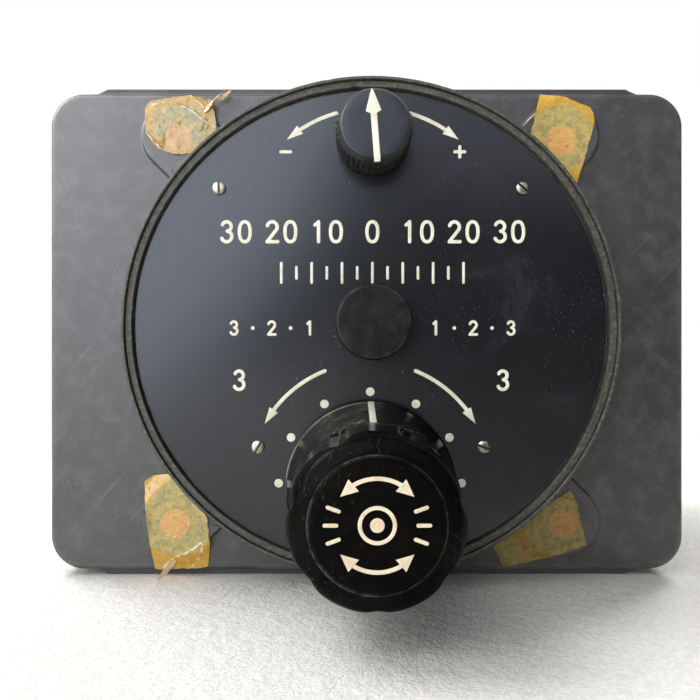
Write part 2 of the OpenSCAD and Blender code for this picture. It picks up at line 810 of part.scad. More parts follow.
// The arrow as it lies in the face and over the bevel, 0.3 deep
module arrow_inlay() {
    edge = small_r - 0.15;
    intersection() {
        slab(up(gain_h + 1), up(gain_h - 1.4)) rotate(arrow_tilt) arrow_outline();
        difference() {
            turned([[0, up(gain_h)], [small_r - 1.4, up(gain_h)], [edge, up(gain_h - 1.4)],
                [0, up(gain_h - 1.4)]]);
            turned([[0, up(gain_h - 0.3)], [small_r - 1.55, up(gain_h - 0.3)],
                [edge - 0.3, up(gain_h - 1.5)], [0, up(gain_h - 1.5)]]);
        }
    }
}

module gain_knob() color([0.09, 0.09, 0.1]) {
    at(gain_at) difference() {
        small_knob(gain_h, 1.4);
        arrow_inlay();
    }
}

module gain_arrow() color([0.93, 0.91, 0.8]) {
    at(gain_at) arrow_inlay();
}

module gain_shaft() color([0.7, 0.7, 0.72]) {
    at(gain_at) {
        rod(quarter_r, up(10), 9);
        rod(5, 4, 7);
        slab(5, 6.2) translate([0, 4.4]) square([2.6, 8.8], center = true);
    }
}

module gain_pot() color([0.16, 0.13, 0.1]) {
    at(gain_at) difference() {
        turned([[0, up(1.4)], [nose_r, up(1.4)], [nose_r, plate_back], [11.2, plate_back],
            [11.2, 13], [0, 13]]);
        rod(quarter_in, up(3), plate_back + 4);
        rod(10, plate_back + 3, 14);
    }
}

module pot_cover() color([0.5, 0.5, 0.48]) {
    at(gain_at) rod(11.2, 13, 14);
}

// Terminal board, harness and rear connector

module terminal_board() color([0.32, 0.2, 0.1]) {
    studs = [for (i = [0:7]) board_at + [-17.5 + 5 * i, 4]];
    at(board_at) slab(board_y, board_y + 3) square(board_size, center = true);
    for (i = [-1, 1]) at(board_at + [i * 17, -4]) rod(3, deck2_y + deck_t, board_y);
    each_at(studs) rod(1.5, board_y + 2.5, board_y + 5);
}

// Trunk of the harness, from the board to the connector, with rings across each run
harness_r = 3.2;
harness_path = [[30, 33, 22], [30, 38, 22], [29, 46, 20], [26, 54, 15], [20, 62, 7], [13, 69, -2],
    [7, 75, -10], [2, 81, -17], [0, 86, -21], [0, 90, -22]];

function unit(v) = v / norm(v);

function path_ring(i) = let (
    a = harness_path[max(i - 1, 0)],
    b = harness_path[min(i + 1, len(harness_path) - 1)],
    along = (i == 0 || i == len(harness_path) - 1) ? [0, 1, 0] : unit(b - a),
    side = unit(cross(along, [0, 0, 1])),
    rise = cross(side, along))
    [for (k = [0:7]) harness_path[i] + harness_r * (cos(45 * k) * side + sin(45 * k) * rise)];

module wire_harness() color([0.55, 0.5, 0.38]) {
    skin_tube([for (i = [0:len(harness_path) - 1]) path_ring(i)]);
}

// Places of the contacts: one in the middle and a ring of nine
contacts_at = concat([conn_at], [for (i = [0:8]) conn_at + conn_pin_ring * [cos(40 * i), sin(40 * i)]]);

module connector_shell() color([0.6, 0.6, 0.6]) {
    difference() {
        union() {
            at(conn_at) slab(cover_back, cover_back + 3.2) rounded_rect(conn_flange, conn_flange, 3);
            at(conn_at) rod(conn_thread_r, conn_start, conn_end);
        }
        at(conn_at) {
            rod(conn_bore_r, conn_start - 1, conn_end + 1);
            for (i = [-1, 1], k = [-1, 1]) at([i, k] * conn_pitch / 2) rod(1.5, cover_back - 1, conn_end);
        }
    }
}

module connector_insert() color([0.1, 0.1, 0.1]) {
    difference() {
        at(conn_at) rod(conn_bore_r, conn_core[0], conn_core[1]);
        each_at(contacts_at) rod(conn_pin_r, conn_core[0] - 1, conn_core[1] + 1);
    }
}

module connector_pins() color([0.75, 0.65, 0.35]) {
    each_at(contacts_at) rod(conn_pin_r, conn_pins_y[0], conn_pins_y[1]);
}

module connector_screws() color([0.6, 0.6, 0.58]) {
    for (i = [-1, 1], k = [-1, 1]) at(conn_at + [i, k] * conn_pitch / 2)
        rear_screw(cover_back + 3.2, 2.4, 1.8, 1.2, 6);
}

case_body();
mount_inserts();
rear_cover();
cover_gasket();
cover_screws();
bezel_ring();
bezel_screws();
retaining_ring();
face_plate();
plate_marks();
face_screws();
face_posts();
seal_tapes();
front_deck();
rear_deck();
deck_spacers();
deck_screws();
deck_pins();
turn_knob();
knob_cap();
knob_insert();
knob_set_screws();
pointer_line();
turn_shaft();
shaft_collar();
drive_pin();
return_spring();
spring_washer();
turn_bushing();
turn_sleeve();
turn_gear();
detent_cam();
sleeve_clip();
rear_bush();
detent_arm();
detent_roller();
switch_body();
switch_plunger();
switch_bracket();
turn_transmitter();
turn_rotor();
align_transmitter();
align_rotor();
transmitter_cleats();
align_knob();
align_shaft();
align_gear();
align_bushing();
panel_nuts();
gain_knob();
gain_arrow();
gain_shaft();
gain_pot();
pot_cover();
terminal_board();
wire_harness();
connector_shell();
connector_insert();
connector_pins();
connector_screws();
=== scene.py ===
# Autopilot controller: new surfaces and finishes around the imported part.
# Sizes in the dictionaries are millimetres, in the frame of the part.
import json
import math

import bpy
import numpy as np
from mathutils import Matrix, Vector


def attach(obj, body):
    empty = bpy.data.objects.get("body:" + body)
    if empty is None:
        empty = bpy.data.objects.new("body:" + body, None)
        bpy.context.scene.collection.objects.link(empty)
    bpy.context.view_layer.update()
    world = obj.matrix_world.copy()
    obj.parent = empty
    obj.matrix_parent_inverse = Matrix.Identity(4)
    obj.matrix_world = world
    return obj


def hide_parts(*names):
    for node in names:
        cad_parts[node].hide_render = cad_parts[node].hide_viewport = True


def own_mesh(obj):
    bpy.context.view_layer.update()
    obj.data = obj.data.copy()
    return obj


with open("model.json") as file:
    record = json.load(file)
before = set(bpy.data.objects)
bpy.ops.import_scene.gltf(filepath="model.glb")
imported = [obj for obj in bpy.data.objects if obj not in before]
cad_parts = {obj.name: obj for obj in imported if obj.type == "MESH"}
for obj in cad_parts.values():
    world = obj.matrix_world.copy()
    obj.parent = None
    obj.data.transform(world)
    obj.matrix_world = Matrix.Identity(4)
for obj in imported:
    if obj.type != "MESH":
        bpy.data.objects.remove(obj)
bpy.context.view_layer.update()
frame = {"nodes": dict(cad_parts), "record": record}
cadNodes = frame["nodes"]
millimetre = 0.001
print("frame loaded:", len(cadNodes), "nodes")


# Number helpers

# A dictionary whose values are also read with a dot
class Values(dict):
    __getattr__ = dict.__getitem__


# Smooth step: 0 below low, 1 above high, and 3t2 - 2t3 between them
def smooth(value, low, high):
    t = np.clip((np.asarray(value, float) - low) / (high - low), 0, 1)
    return t * t * (3 - 2 * t)


# Angles at even steps round a full turn
def fullTurn(steps):
    return np.arange(steps) * 2 * math.pi / steps


# Points (cos a, sin a) on the unit circle
def onCircle(angle):
    return np.stack([np.cos(angle), np.sin(angle)], -1)


# Value noise: random numbers from -1 to 1 on a square lattice, blended smoothly between the corners
def latticeNoise(x, z, cell, seed):
    table = np.random.default_rng(seed).random((64, 64)) * 2 - 1
    gx, gz = np.asarray(x, float) / cell + 900, np.asarray(z, float) / cell + 900
    ix, iz = np.floor(gx).astype(int), np.floor(gz).astype(int)
    fx, fz = smooth(gx - ix, 0, 1), smooth(gz - iz, 0, 1)
    corner = lambda a, b: table[(ix + a) % 64, (iz + b) % 64]
    near = corner(0, 0) * (1 - fx) + corner(1, 0) * fx
    far = corner(0, 1) * (1 - fx) + corner(1, 1) * fx
    return near * (1 - fz) + far * fz


# Corner rounding: each corner (a, b, radius) becomes a short quadratic curve between two points on its sides,
# with one more point on each side that keeps the flat beside it flat
def roundedProfile(corners, closed=False, steps=5):
    points = []
    count = len(corners)
    for i, (a, b, radius) in enumerate(corners):
        here = np.array([a, b], float)
        if radius <= 0 or (not closed and i in (0, count - 1)):
            points.append(here[None])
            continue
        before = np.array(corners[i - 1][:2], float) - here
        after = np.array(corners[(i + 1) % count][:2], float) - here
        lengths = np.linalg.norm(before), np.linalg.norm(after)
        before, after = before / lengths[0], after / lengths[1]
        half = math.acos(float(np.clip(before @ after, -1, 1))) / 2
        reach = min(radius / math.tan(half), 0.42 * min(lengths))
        s = np.linspace(0, 1, steps + 1)[:, None]
        start, end = here + before * reach, here + after * reach
        curve = (1 - s) ** 2 * start + 2 * s * (1 - s) * here + s ** 2 * end
        points.append(np.vstack([here + before * reach * 1.15, curve, here + after * reach * 1.15]))
    return np.vstack(points)


# Round cornered rectangle as points and outward normals, round from the right over the top to the left;
# alongX and alongZ are the points of its straight sides
def roundedRectangle(half, radius, cornerSteps, alongX, alongZ):
    turn = np.linspace(0, math.pi / 2, cornerSteps)
    points, normals = [], []
    for quarter, (i, k) in enumerate([(1, 1), (-1, 1), (-1, -1), (1, -1)]):
        normal = onCircle(turn + quarter * math.pi / 2)
        along = [alongX[::-1], alongZ[::-1], alongX, alongZ][quarter]
        side = [(0, 1), (-1, 0), (0, -1), (1, 0)][quarter]
        flat = [np.full(len(along), i * half[0]), np.full(len(along), k * half[1])]
        flat[quarter % 2] = along
        points += [np.array([i, k]) * (half - radius) + normal * radius, np.stack(flat, -1)]
        normals += [normal, np.tile(side, (len(along), 1))]
    return np.vstack(points), np.vstack(normals)


# Mesh helpers

# A grid of points (rows, columns, 3), the ways in which it closes on itself, and values to keep per point
def grid(points, closeRows=False, closeColumns=False, **values):
    return Values(points=np.asarray(points, float), rows=closeRows, columns=closeColumns, values=values)


# (x, z) points set at their depths
def atDepth(flat, depth):
    return np.stack([flat[..., 0], depth + 0 * flat[..., 0], flat[..., 1]], -1)


# Rings of (flat points, depth, wear), the last of which closes on the first
def ringGrid(rings):
    flats, depths, wears = zip(*rings)
    flat = np.array(flats)
    wear = np.array([value + 0 * flat[0, :, 0] for value in wears])
    return grid(atDepth(flat, np.array(depths)[:, None]), True, True, wear=wear)


# Rows of closed sections, with a point in the middle of both end sections, moved back by the shift
def capped(rows, shift=0.0):
    first, last = [np.tile(rows[i].mean(0) + [0, shift, 0], (1, rows.shape[1], 1)) for i in (0, -1)]
    return grid(np.concatenate([first, rows, last]), False, True)


# Turned surface: each profile point (radius, depth) goes round the axis; ripple adds to radius, lift to depth
def turned(profile, centre=(0, 0), steps=96, ripple=0, lift=0, closed=False, **values):
    profile = np.asarray(profile, float)
    angle = fullTurn(steps)
    radius = (profile[:, :1] + ripple) * (profile[:, :1] > 1e-6) + 0 * angle
    depth = profile[:, 1:2] + lift + 0 * angle
    flat = np.array(centre) + radius[..., None] * onCircle(angle)
    return grid(atDepth(flat, depth), closed, True, **values)


# Welded mesh data: equal points become one, squares that lose a corner become triangles,
# and a closed shape whose signed volume is negative is turned round
def weldedGrid(part):
    shape = part.points.shape[:2]
    flat = part.points.reshape(-1, 3)
    row = np.arange(shape[0] - (not part.rows))[:, None]
    column = np.arange(shape[1] - (not part.columns))[None]
    nextRow, nextColumn = (row + 1) % shape[0], (column + 1) % shape[1]
    corners = [(row, column), (nextRow, column), (nextRow, nextColumn), (row, nextColumn)]
    quads = np.stack([(r * shape[1] + c).ravel() for r, c in corners], -1)
    keys = np.round(flat * 2e4).astype(np.int64)
    _, first, inverse = np.unique(keys, axis=0, return_index=True, return_inverse=True)
    quads = inverse.reshape(-1)[quads]
    points = flat[first]
    repeated = quads == np.roll(quads, -1, axis=1)
    squares = quads[~repeated.any(1)]
    squares = squares[(squares[:, 0] != squares[:, 2]) & (squares[:, 1] != squares[:, 3])]
    single = repeated.sum(1) == 1
    triangles = quads[single][~repeated[single]].reshape(-1, 3)
    solid = np.vstack([squares[:, [0, 1, 2]], squares[:, [0, 2, 3]], triangles])
    a, b, c = points[solid[:, 0]], points[solid[:, 1]], points[solid[:, 2]]
    if np.einsum("ij,ij->i", a, np.cross(b, c)).sum() < 0:
        squares, triangles = squares[:, ::-1], triangles[:, ::-1]
    kept = {name: np.broadcast_to(value, shape).reshape(-1)[first] for name, value in part["values"].items()}
    return points, squares, triangles, kept


# One object from closed grids: welded points and faces of all of them, written to the mesh as whole arrays
def addPiece(name, parts, finish, body, replaced=(), sharp=38):
    welded = [weldedGrid(part) for part in parts]
    offsets = np.cumsum([0] + [len(w[0]) for w in welded])
    points = np.vstack([w[0] for w in welded])
    squares, triangles = [np.vstack([w[i] + offset for w, offset in zip(welded, offsets)]) for i in (1, 2)]
    mesh = bpy.data.meshes.new(name)
    mesh.vertices.add(len(points))
    mesh.vertices.foreach_set("co", (points * millimetre).astype(np.float32).ravel())
    corners = np.concatenate([squares.ravel(), triangles.ravel()]).astype(np.int32)
    starts = np.concatenate([np.arange(len(squares)) * 4, len(squares) * 4 + np.arange(len(triangles)) * 3])
    mesh.loops.add(len(corners))
    mesh.loops.foreach_set("vertex_index", corners)
    mesh.polygons.add(len(starts))
    mesh.polygons.foreach_set("loop_start", starts.astype(np.int32))
    mesh.update(calc_edges=True)
    for key in sorted({key for w in welded for key in w[3]}):
        data = np.concatenate([w[3].get(key, np.zeros(len(w[0]))) for w in welded])
        mesh.attributes.new(key, "FLOAT", "POINT").data.foreach_set("value", data.astype(np.float32))
    mesh.shade_smooth()
    mesh.set_sharp_from_angle(angle=math.radians(sharp))
    mesh.materials.append(finishes[finish])
    piece = addObject(name, mesh)
    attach(piece, body)
    if replaced:
        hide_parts(*replaced)
    return piece


def addObject(name, data):
    holder = bpy.data.objects.new(name, data)
    bpy.context.scene.collection.objects.link(holder)
    return holder


# Node helpers

# Screen colour from 0 to 255 as the linear colour that a shader takes
def tone(red, green, blue):
    c = np.array([red, green, blue]) / 255
    linear = np.where(c <= 0.04045, c / 12.92, ((c + 0.055) / 1.055) ** 2.4)
    return (*[float(v) for v in linear], 1.0)


# A node's output; + - * and abs add a Math node behind it, and | adds one that takes the larger of two
class Wire:
    def __init__(self, nodes, socket):
        self.nodes, self.socket = nodes, socket

    def __add__(self, other):
        return self.nodes.math("ADD", self, other)

    def __sub__(self, other):
        return self.nodes.math("SUBTRACT", self, other)

    def __mul__(self, other):
        return self.nodes.math("MULTIPLY", self, other)

    def __or__(self, other):
        return self.nodes.math("MAXIMUM", self, other)

    def __abs__(self):
        return self.nodes.math("ABSOLUTE", self)


# A node tree with short calls that add a node and set or link its inputs
class Nodes:
    def __init__(self, tree):
        self.tree = tree
        tree.nodes.clear()

    def add(self, kind, inputs={}, out=0, **settings):
        node = self.tree.nodes.new("ShaderNode" + kind)
        for key, value in settings.items():
            setattr(node, key, value)
        for key, value in inputs.items():
            if isinstance(value, Wire):
                self.tree.links.new(value.socket, node.inputs[key])
            else:
                node.inputs[key].default_value = value
        return Wire(self, node.outputs[out]) if len(node.outputs) else None

    def math(self, operation, a, b=0.0, clamp=False):
        return self.add("Math", {0: a, 1: b}, operation=operation, use_clamp=clamp)

    def rise(self, value, low, high, start=0.0, end=1.0):
        inputs = {0: value, 1: low, 2: high, 3: start, 4: end}
        return self.add("MapRange", inputs, interpolation_type="SMOOTHSTEP")

    def axes(self, place):
        return [self.add("SeparateXYZ", {0: place}, out) for out in range(3)]


# A principled material: a first colour, coats of other colours over it, then its gloss and relief
class Finish(Nodes):
    def __init__(self, name):
        self.material = bpy.data.materials.new(name)
        self.material.use_nodes = True
        super().__init__(self.material.node_tree)
        self.place = self.add("TexCoord", out="Object")

    def mix(self, share, a, b, mode="MIX"):
        return self.add("Mix", {0: share, 6: a, 7: b}, 2, data_type="RGBA", blend_type=mode)

    def coat(self, share, colour):
        self.colour = self.mix(share, self.colour, colour)

    def value(self, name):
        return self.add("Attribute", out="Fac", attribute_name=name)

    def noise(self, scale, detail=3, rough=0.6, where=None, warp=0.0):
        return self.add("TexNoise", {"Vector": where or self.place, "Scale": scale, "Detail": detail,
                                     "Roughness": rough, "Distortion": warp})

    # Noise as clouds: start below low, end above high
    def cloud(self, scale, low, high, detail=3, rough=0.6, start=0.0, end=1.0, warp=0.0):
        return self.rise(self.noise(scale, detail, rough, None, warp), low, high, start, end)

    def cells(self, scale, out="Distance"):
        return self.add("TexVoronoi", {"Vector": self.place, "Scale": scale}, out)

    def stretched(self, scale, turn=(0, 0, 0)):
        inputs = {"Vector": self.place, "Scale": tuple(1 / s for s in scale), "Rotation": turn}
        return self.add("Mapping", inputs, vector_type="TEXTURE")

    # Small spots: cells whose own random number is under the share; that number also sets the spot's size
    def specks(self, scale, size, share):
        own = self.cells(scale, "Color")
        reach = self.rise(own, 0.0, 0.5, size, size * 0.3)
        spot = self.math("SUBTRACT", 1.0, self.math("DIVIDE", self.cells(scale), reach), clamp=True)
        return self.rise(spot, 0.0, 0.5) * self.math("LESS_THAN", own, share)

    # Fine scratches: the high islands of a noise that is drawn out along one direction
    def scratches(self, scale, long, turn, level=0.66):
        line = self.noise(1, 1, 0.5, self.stretched((scale, scale, scale * long), turn))
        return self.rise(line, level, level + 0.06)

    def shader(self, rough, height, depth, strength, **values):
        relief = self.add("Bump", {"Height": height, "Distance": depth * millimetre, "Strength": strength})
        inputs = {key.replace("_", " "): value for key, value in values.items()}
        inputs.update({"Base Color": self.colour, "Roughness": rough, "Normal": relief})
        return self.add("BsdfPrincipled", inputs)

    def done(self, *look, **values):
        self.add("OutputMaterial", {0: self.shader(*look, **values)})
        return self.material


print("helpers ready")


# Finishes

# rail is the tone of the painted shade along the top and bottom rails
casePaint = Values(
    light=tone(43, 41, 38), dark=tone(35, 33, 30), rubbed=tone(88, 86, 83), dirt=tone(36, 32, 27),
    rail=tone(18, 17, 14), roughness=(0.4, 0.5), grain=0.05)


# Satin grey paint on a casting: soft clouds, stains, scuffs, light scratches, rubbed edges, and painted shade
# along the top and bottom edges over the rails
def makeCasePaint():
    p, f = casePaint, Finish("casePaint")
    z = f.axes(f.place)[2]
    f.colour = f.mix(f.cloud(24, 0.34, 0.66, 4, 0.62), p.dark, p.light)
    f.coat(f.cloud(210, 0.42, 0.7, 4, 0.7) * 0.35, p.rubbed)
    f.coat(f.cloud(46, 0.6, 0.72, 5, 0.72, warp=0.6) * 0.4, p.dirt)
    lines = f.scratches(900, 0.05, (0, 0.75, 0)) | f.scratches(1300, 0.06, (0, -0.4, 0))
    f.coat(lines * f.cloud(30, 0.48, 0.62, 2) * 0.45, p.rubbed)
    f.coat(f.value("wear") * f.cloud(160, 0.34, 0.6, 4, 0.7), p.rubbed)
    # Painted shade: the top and bottom edges with the rails are darkened towards the rail tone
    shadedRails = f.rise(z, -0.0679, -0.0684) | f.rise(z, 0.0661, 0.0666)
    f.coat(shadedRails * 0.8, p.rail)
    rough = f.cloud(95, 0.3, 0.7, 4, 0.65, *p.roughness) + shadedRails * 0.25
    height = f.noise(1500) + f.noise(330, 2) * 0.8
    return f.done(rough, height, p.grain, 0.55, IOR=1.5, Specular_IOR_Level=0.86)


bezelPaint = Values(
    light=tone(68, 67, 60), dark=tone(56, 56, 51), rubbed=tone(112, 110, 98), dirt=tone(92, 86, 66),
    roughness=(0.4, 0.56), grain=0.05)


# Rough olive paint on the bezel and the ring in it, rubbed on the edges, with dust in the pits
def makeBezelPaint():
    p, f = bezelPaint, Finish("bezelPaint")
    f.colour = f.mix(f.cloud(90, 0.3, 0.7, 4, 0.65), p.dark, p.light)
    f.coat(f.cloud(1300, 0.56, 0.7, 4, 0.75) * 0.45, p.dirt)
    f.coat(f.cloud(900, 0.5, 0.62, 4, 0.75) * f.value("wear") * 0.7, p.rubbed)
    rough = f.cloud(300, 0.3, 0.7, 3, 0.6, *p.roughness)
    return f.done(rough, f.noise(1400, 4, 0.7) + f.noise(420), p.grain, 0.7, IOR=1.45)


# edge is the tone of the painted highlight line at the rim of the dial
dialPaint = Values(
    light=tone(25, 26, 29), dark=tone(20, 21, 24), dust=tone(120, 120, 112), haze=tone(62, 66, 74),
    edge=tone(150, 150, 142), edgeRadius=63.55, tint=(0.93, 0.96, 1.0, 1.0), grain=0.012)


# Smooth blue black paint on the dial: faint haze and smudges, dust specks, and a pale line at the rim that is a
# painted highlight of the edge chamfer
def makeDialPaint():
    p, f = dialPaint, Finish("dialPaint")
    x, y, z = f.axes(f.place)
    f.colour = f.mix(f.cloud(30, 0.35, 0.65), p.dark, p.light)
    smudge = f.cloud(38, 0.5, 0.78, 5, 0.7, warp=1.2)
    f.coat(smudge * 0.3, p.haze)
    amount = f.cloud(26, 0.36, 0.68, 3, 0.6, 0.02, 0.24)
    dust = f.specks(1500, 0.3, amount) * 0.5 | f.specks(700, 0.22, amount * 0.3) * 0.8
    f.coat(dust * 0.6, p.dust)
    radius = f.math("SQRT", x * x + z * z)
    # Painted highlight: a pale line in the edge tone at the rim stands for light on the edge chamfer
    rim = f.rise(radius, p.edgeRadius * millimetre, (p.edgeRadius + 0.2) * millimetre)
    f.coat(rim * f.cloud(120, 0.3, 0.6, 3, 0.6, 0.35, 0.9), p.edge)
    rough = f.rise(smudge, 0, 1, 0.22, 0.27) + dust * 0.3
    height = f.noise(700) * 0.6 + dust
    return f.done(rough, height, p.grain, 0.6, IOR=1.5, Specular_IOR_Level=0.6, Specular_Tint=p.tint)


inlayPaint = Values(dirt=tone(120, 110, 82), roughness=(0.5, 0.7), grain=0.02)


# Cream filling paint: slightly uneven, with grime in places
def makeInlayPaint(name, light, dark):
    p, f = inlayPaint, Finish(name)
    f.colour = f.mix(f.cloud(260, 0.35, 0.65, 4, 0.65), tone(*light), tone(*dark))
    f.coat(f.cloud(700, 0.58, 0.72, 4, 0.7) * f.cloud(90, 0.4, 0.65, 2) * 0.55, p.dirt)
    return f.done(f.cloud(500, 0.3, 0.7, 2, 0.6, *p.roughness), f.noise(2200), p.grain, 0.4)


# rim is the tone of the painted highlight on the upper left of the skirt's rim
bakelite = Values(
    base=tone(10, 10, 10), brown=tone(18, 16, 13), dust=tone(170, 162, 112), pale=tone(120, 120, 118),
    rim=tone(176, 176, 164), haze=tone(118, 120, 108), axis=(-0.2, -42.2), junctionDepth=-34.6, joint=14.3,
    skirt=22.4, rimDepth=-13.95, grain=0.01)


# Glossy black moulding: fine scratches, dust specks, yellowish dust where the grip meets the skirt,
# a pale line of dust in the joint round the cap, made stronger on the left as painted highlight,
# a painted highlight on the upper left of the rim, and a haze on the upper part of the skirt
def makeBakelite(name, dusty):
    p, f = bakelite, Finish(name)
    x, y, z = f.axes(f.place)
    x, z = x - p.axis[0] * millimetre, z - p.axis[1] * millimetre
    radius = f.math("SQRT", x * x + z * z)
    f.colour = f.mix(f.cloud(70, 0.4, 0.7, 4), p.base, p.brown)
    film = f.cloud(55, 0.45, 0.75, 5, 0.7, warp=0.8)
    f.coat(film * (0.03 * dusty), p.pale)
    dust = (f.specks(1700, 0.3, f.cloud(60, 0.4, 0.7, 3, 0.6, 0.02, 0.2 * dusty)) |
            f.specks(700, 0.2, f.cloud(45, 0.45, 0.7, end=0.08 * dusty)))
    near = f.rise(abs(y - p.junctionDepth * millimetre), 0.009, 0.0) * f.cloud(95, 0.34, 0.6)
    band = (f.specks(2100, 0.4, near * 0.6) | f.specks(900, 0.34, near * 0.4) |
            near * f.cloud(330, 0.54, 0.64, 4, 0.7, 0.0, 0.5, 1.0))
    lines = f.scratches(1300, 0.06, (0, 0.5, 0.9)) | f.scratches(1700, 0.05, (0.5, -0.7, 0))
    lines = lines * f.cloud(50, 0.42, 0.6, 2, end=0.5)
    joint = f.rise(abs(radius - p.joint * millimetre), 0.0004, 0.0) * f.rise(y, -0.0555, -0.0563)
    # Painted highlight: the pale dust line in the joint is made stronger towards the left, where light falls
    f.coat(joint * f.cloud(300, 0.36, 0.64, 3, 0.7, 0.15, 0.8) * f.rise(x, 0.008, -0.010, 0.2, 1.0), p.pale)
    # Painted highlight: a pale line on the upper left of the skirt's rim, in the rim tone
    rim = f.rise(radius, (p.skirt - 0.4) * millimetre, (p.skirt - 0.15) * millimetre)
    rim = rim * f.rise(abs(y - p.rimDepth * millimetre), 0.0007, 0.0003) * f.rise(z - x, 0.017, 0.028)
    f.coat(rim * f.cloud(130, 0.32, 0.62, 3, 0.7, 0.25, 0.9), p.rim)
    slope = f.rise(y, -0.0345, -0.033) * f.rise(z - x * 0.35, 0.017, 0.022)
    f.coat(slope * f.cloud(150, 0.36, 0.68, 5, 0.7, 0.05, 0.42 * dusty, 0.6), p.haze)
    f.coat(dust * (0.3 + 0.2 * dusty), p.pale)
    f.coat(band * (0.8 * dusty), p.dust)
    f.coat(lines * (0.05 + 0.2 * dusty), p.pale)
    rough = f.rise(film, 0, 1, 0.16, 0.25) + (dust | band) * 0.4
    height = f.noise(260, 2) * 1.4 + dust - lines
    return f.done(rough, height, p.grain, 0.5, IOR=1.5, Specular_IOR_Level=0.022)


# knurl is the tone of the painted shade over the knurl
knobPlastic = Values(
    base=tone(14, 14, 14), mid=tone(25, 26, 25), grime=tone(92, 80, 56), bloom=tone(44, 45, 40),
    rub=tone(84, 86, 76), knurl=tone(7, 7, 7), rust=tone(62, 50, 34), tint=(0.84, 0.91, 1.0, 1.0),
    grain=0.03)


# Dull black plastic of the small knobs: bloom and diagonal scratches on the face, brown dirt in the knurl,
# painted shade that darkens the knurl most in its valleys, and bevel corners painted lighter as rubbed wear and
# painted highlight
def makeKnobPlastic(name, bloom, turn, shine):
    p, f = knobPlastic, Finish(name)
    f.colour = f.mix(f.cloud(150, 0.3, 0.7), p.base, p.mid)
    mottle = f.cloud(260, 0.4, 0.72, 5, 0.75, warp=0.5)
    f.coat(mottle * bloom, p.bloom)
    lines = f.scratches(2600, 0.05, (0, turn, 0), 0.6) | f.scratches(3400, 0.04, (0, turn + 0.14, 0), 0.62)
    lines = lines * f.cloud(240, 0.44, 0.66, 4, 0.7)
    f.coat(lines * 0.2, p.rub)
    f.coat(f.cloud(520, 0.5, 0.66, 4, 0.7) * f.cloud(110, 0.4, 0.62) * (bloom * 0.5), p.rust)
    # Painted shade: the knurl is darkened to the knurl tone, most in its valleys
    f.coat(f.value("groove") * 0.75, p.knurl)
    grime = f.value("groove") * f.cloud(1400, 0.48, 0.6, 4, 0.75)
    f.coat((grime | f.specks(1500, 0.32, 0.16) * 0.5) * 0.42, p.grime)
    # Face bevel corners painted lighter in the rub tone: rubbed wear and painted highlight
    f.coat(f.value("wear") * f.cloud(260, 0.38, 0.6) * 0.65, p.rub)
    rough = f.rise(mottle, 0, 1, 0.36, 0.5) + grime * 0.3
    height = f.noise(1300, 4, 0.7) + grime * 2.0 - lines * 0.8
    return f.done(rough, height, p.grain, 0.6, IOR=1.5, Specular_IOR_Level=shine, Specular_Tint=p.tint)


tapeFilm = Values(
    margin=tone(196, 148, 40), pale=tone(210, 168, 72), stuck=tone(198, 180, 110),
    green=tone(146, 148, 102), bright=tone(232, 204, 112), fibre=tone(176, 136, 74), dirt=tone(96, 84, 44),
    centre=tone(223, 164, 98), peach=tone(228, 186, 120), speck=tone(186, 104, 40),
    strand=tone(240, 208, 178), crease=tone(255, 252, 240), glossyBelow=0.3, grain=0.16)


# Aged tape: yellow where it is loose, dull and mottled where it sticks to the lug, orange over the bolt hole; on
# glossy tape the creases are painted white as painted glints, partly stress whitening of the film
def makeTapeFilm(name, brightness, roughness, dirty):
    p, f = tapeFilm, Finish(name)
    glossy = roughness < p.glossyBelow
    fibre = f.noise(1, 4, 0.65, f.stretched((300, 900, 2600)))
    f.colour = f.mix(f.cloud(160, 0.35, 0.68, 5, 0.7), p.margin, p.pale)
    f.coat(f.rise(fibre, 0.5, 0.75, 0.0, 0.35), p.pale)
    f.coat(f.cloud(700, 0.5, 0.68, 4, 0.75, 0.0, 0.5), p.bright)
    patch = f.cloud(460, 0.42, 0.6, 5, 0.8, warp=0.4)
    stuck = f.rise(f.value("stuck") + f.cloud(260, 0.2, 0.8, 4, 0.7, -0.28, 0.28), 0.25, 0.75)
    f.coat(stuck * 0.9, f.mix(f.rise(fibre, 0.46, 0.66, 0.0, 0.4), f.mix(patch, p.stuck, p.green), p.fibre))
    centre = f.mix(f.rise(fibre, 0.46, 0.66, 0.0, 0.45), f.mix(patch, p.centre, p.peach), p.fibre)
    f.coat(f.value("hole") * 0.85, centre)
    f.coat((f.specks(640, 0.5, 0.16) | f.cloud(900, 0.6, 0.72, 3, 0.7)) * 0.55, p.speck)
    f.coat((f.cloud(620, 0.54, 0.66, 4, 0.75) | f.specks(1300, 0.5, 0.3)) * dirty, p.dirt)
    # Painted glints: on glossy tape the creases are painted near white; on the other tapes they take the speck
    # tone
    crease = f.value("crease") * f.cloud(620, 0.4, 0.56, 3, 0.7)
    f.coat(crease * (0.9 if glossy else 0.6), p.crease if glossy else p.speck)
    f.coat(f.value("strand"), p.strand)
    f.colour = f.mix(1.0, f.colour, (brightness, brightness, brightness, 1.0), "MULTIPLY")
    rough = f.cloud(420, 0.3, 0.7, 4, 0.7, roughness, roughness + 0.22)
    height = f.noise(520, 5, 0.7, warp=0.6) + fibre * 0.5
    return f.done(rough, height, p.grain, 0.6, IOR=1.5, Specular_IOR_Level=0.25, Subsurface_Weight=0.05,
                  Subsurface_Scale=0.001, Subsurface_Radius=(1.0, 0.5, 0.15),
                  Coat_Weight=0.9 if glossy else 0.0, Coat_Roughness=0.08)


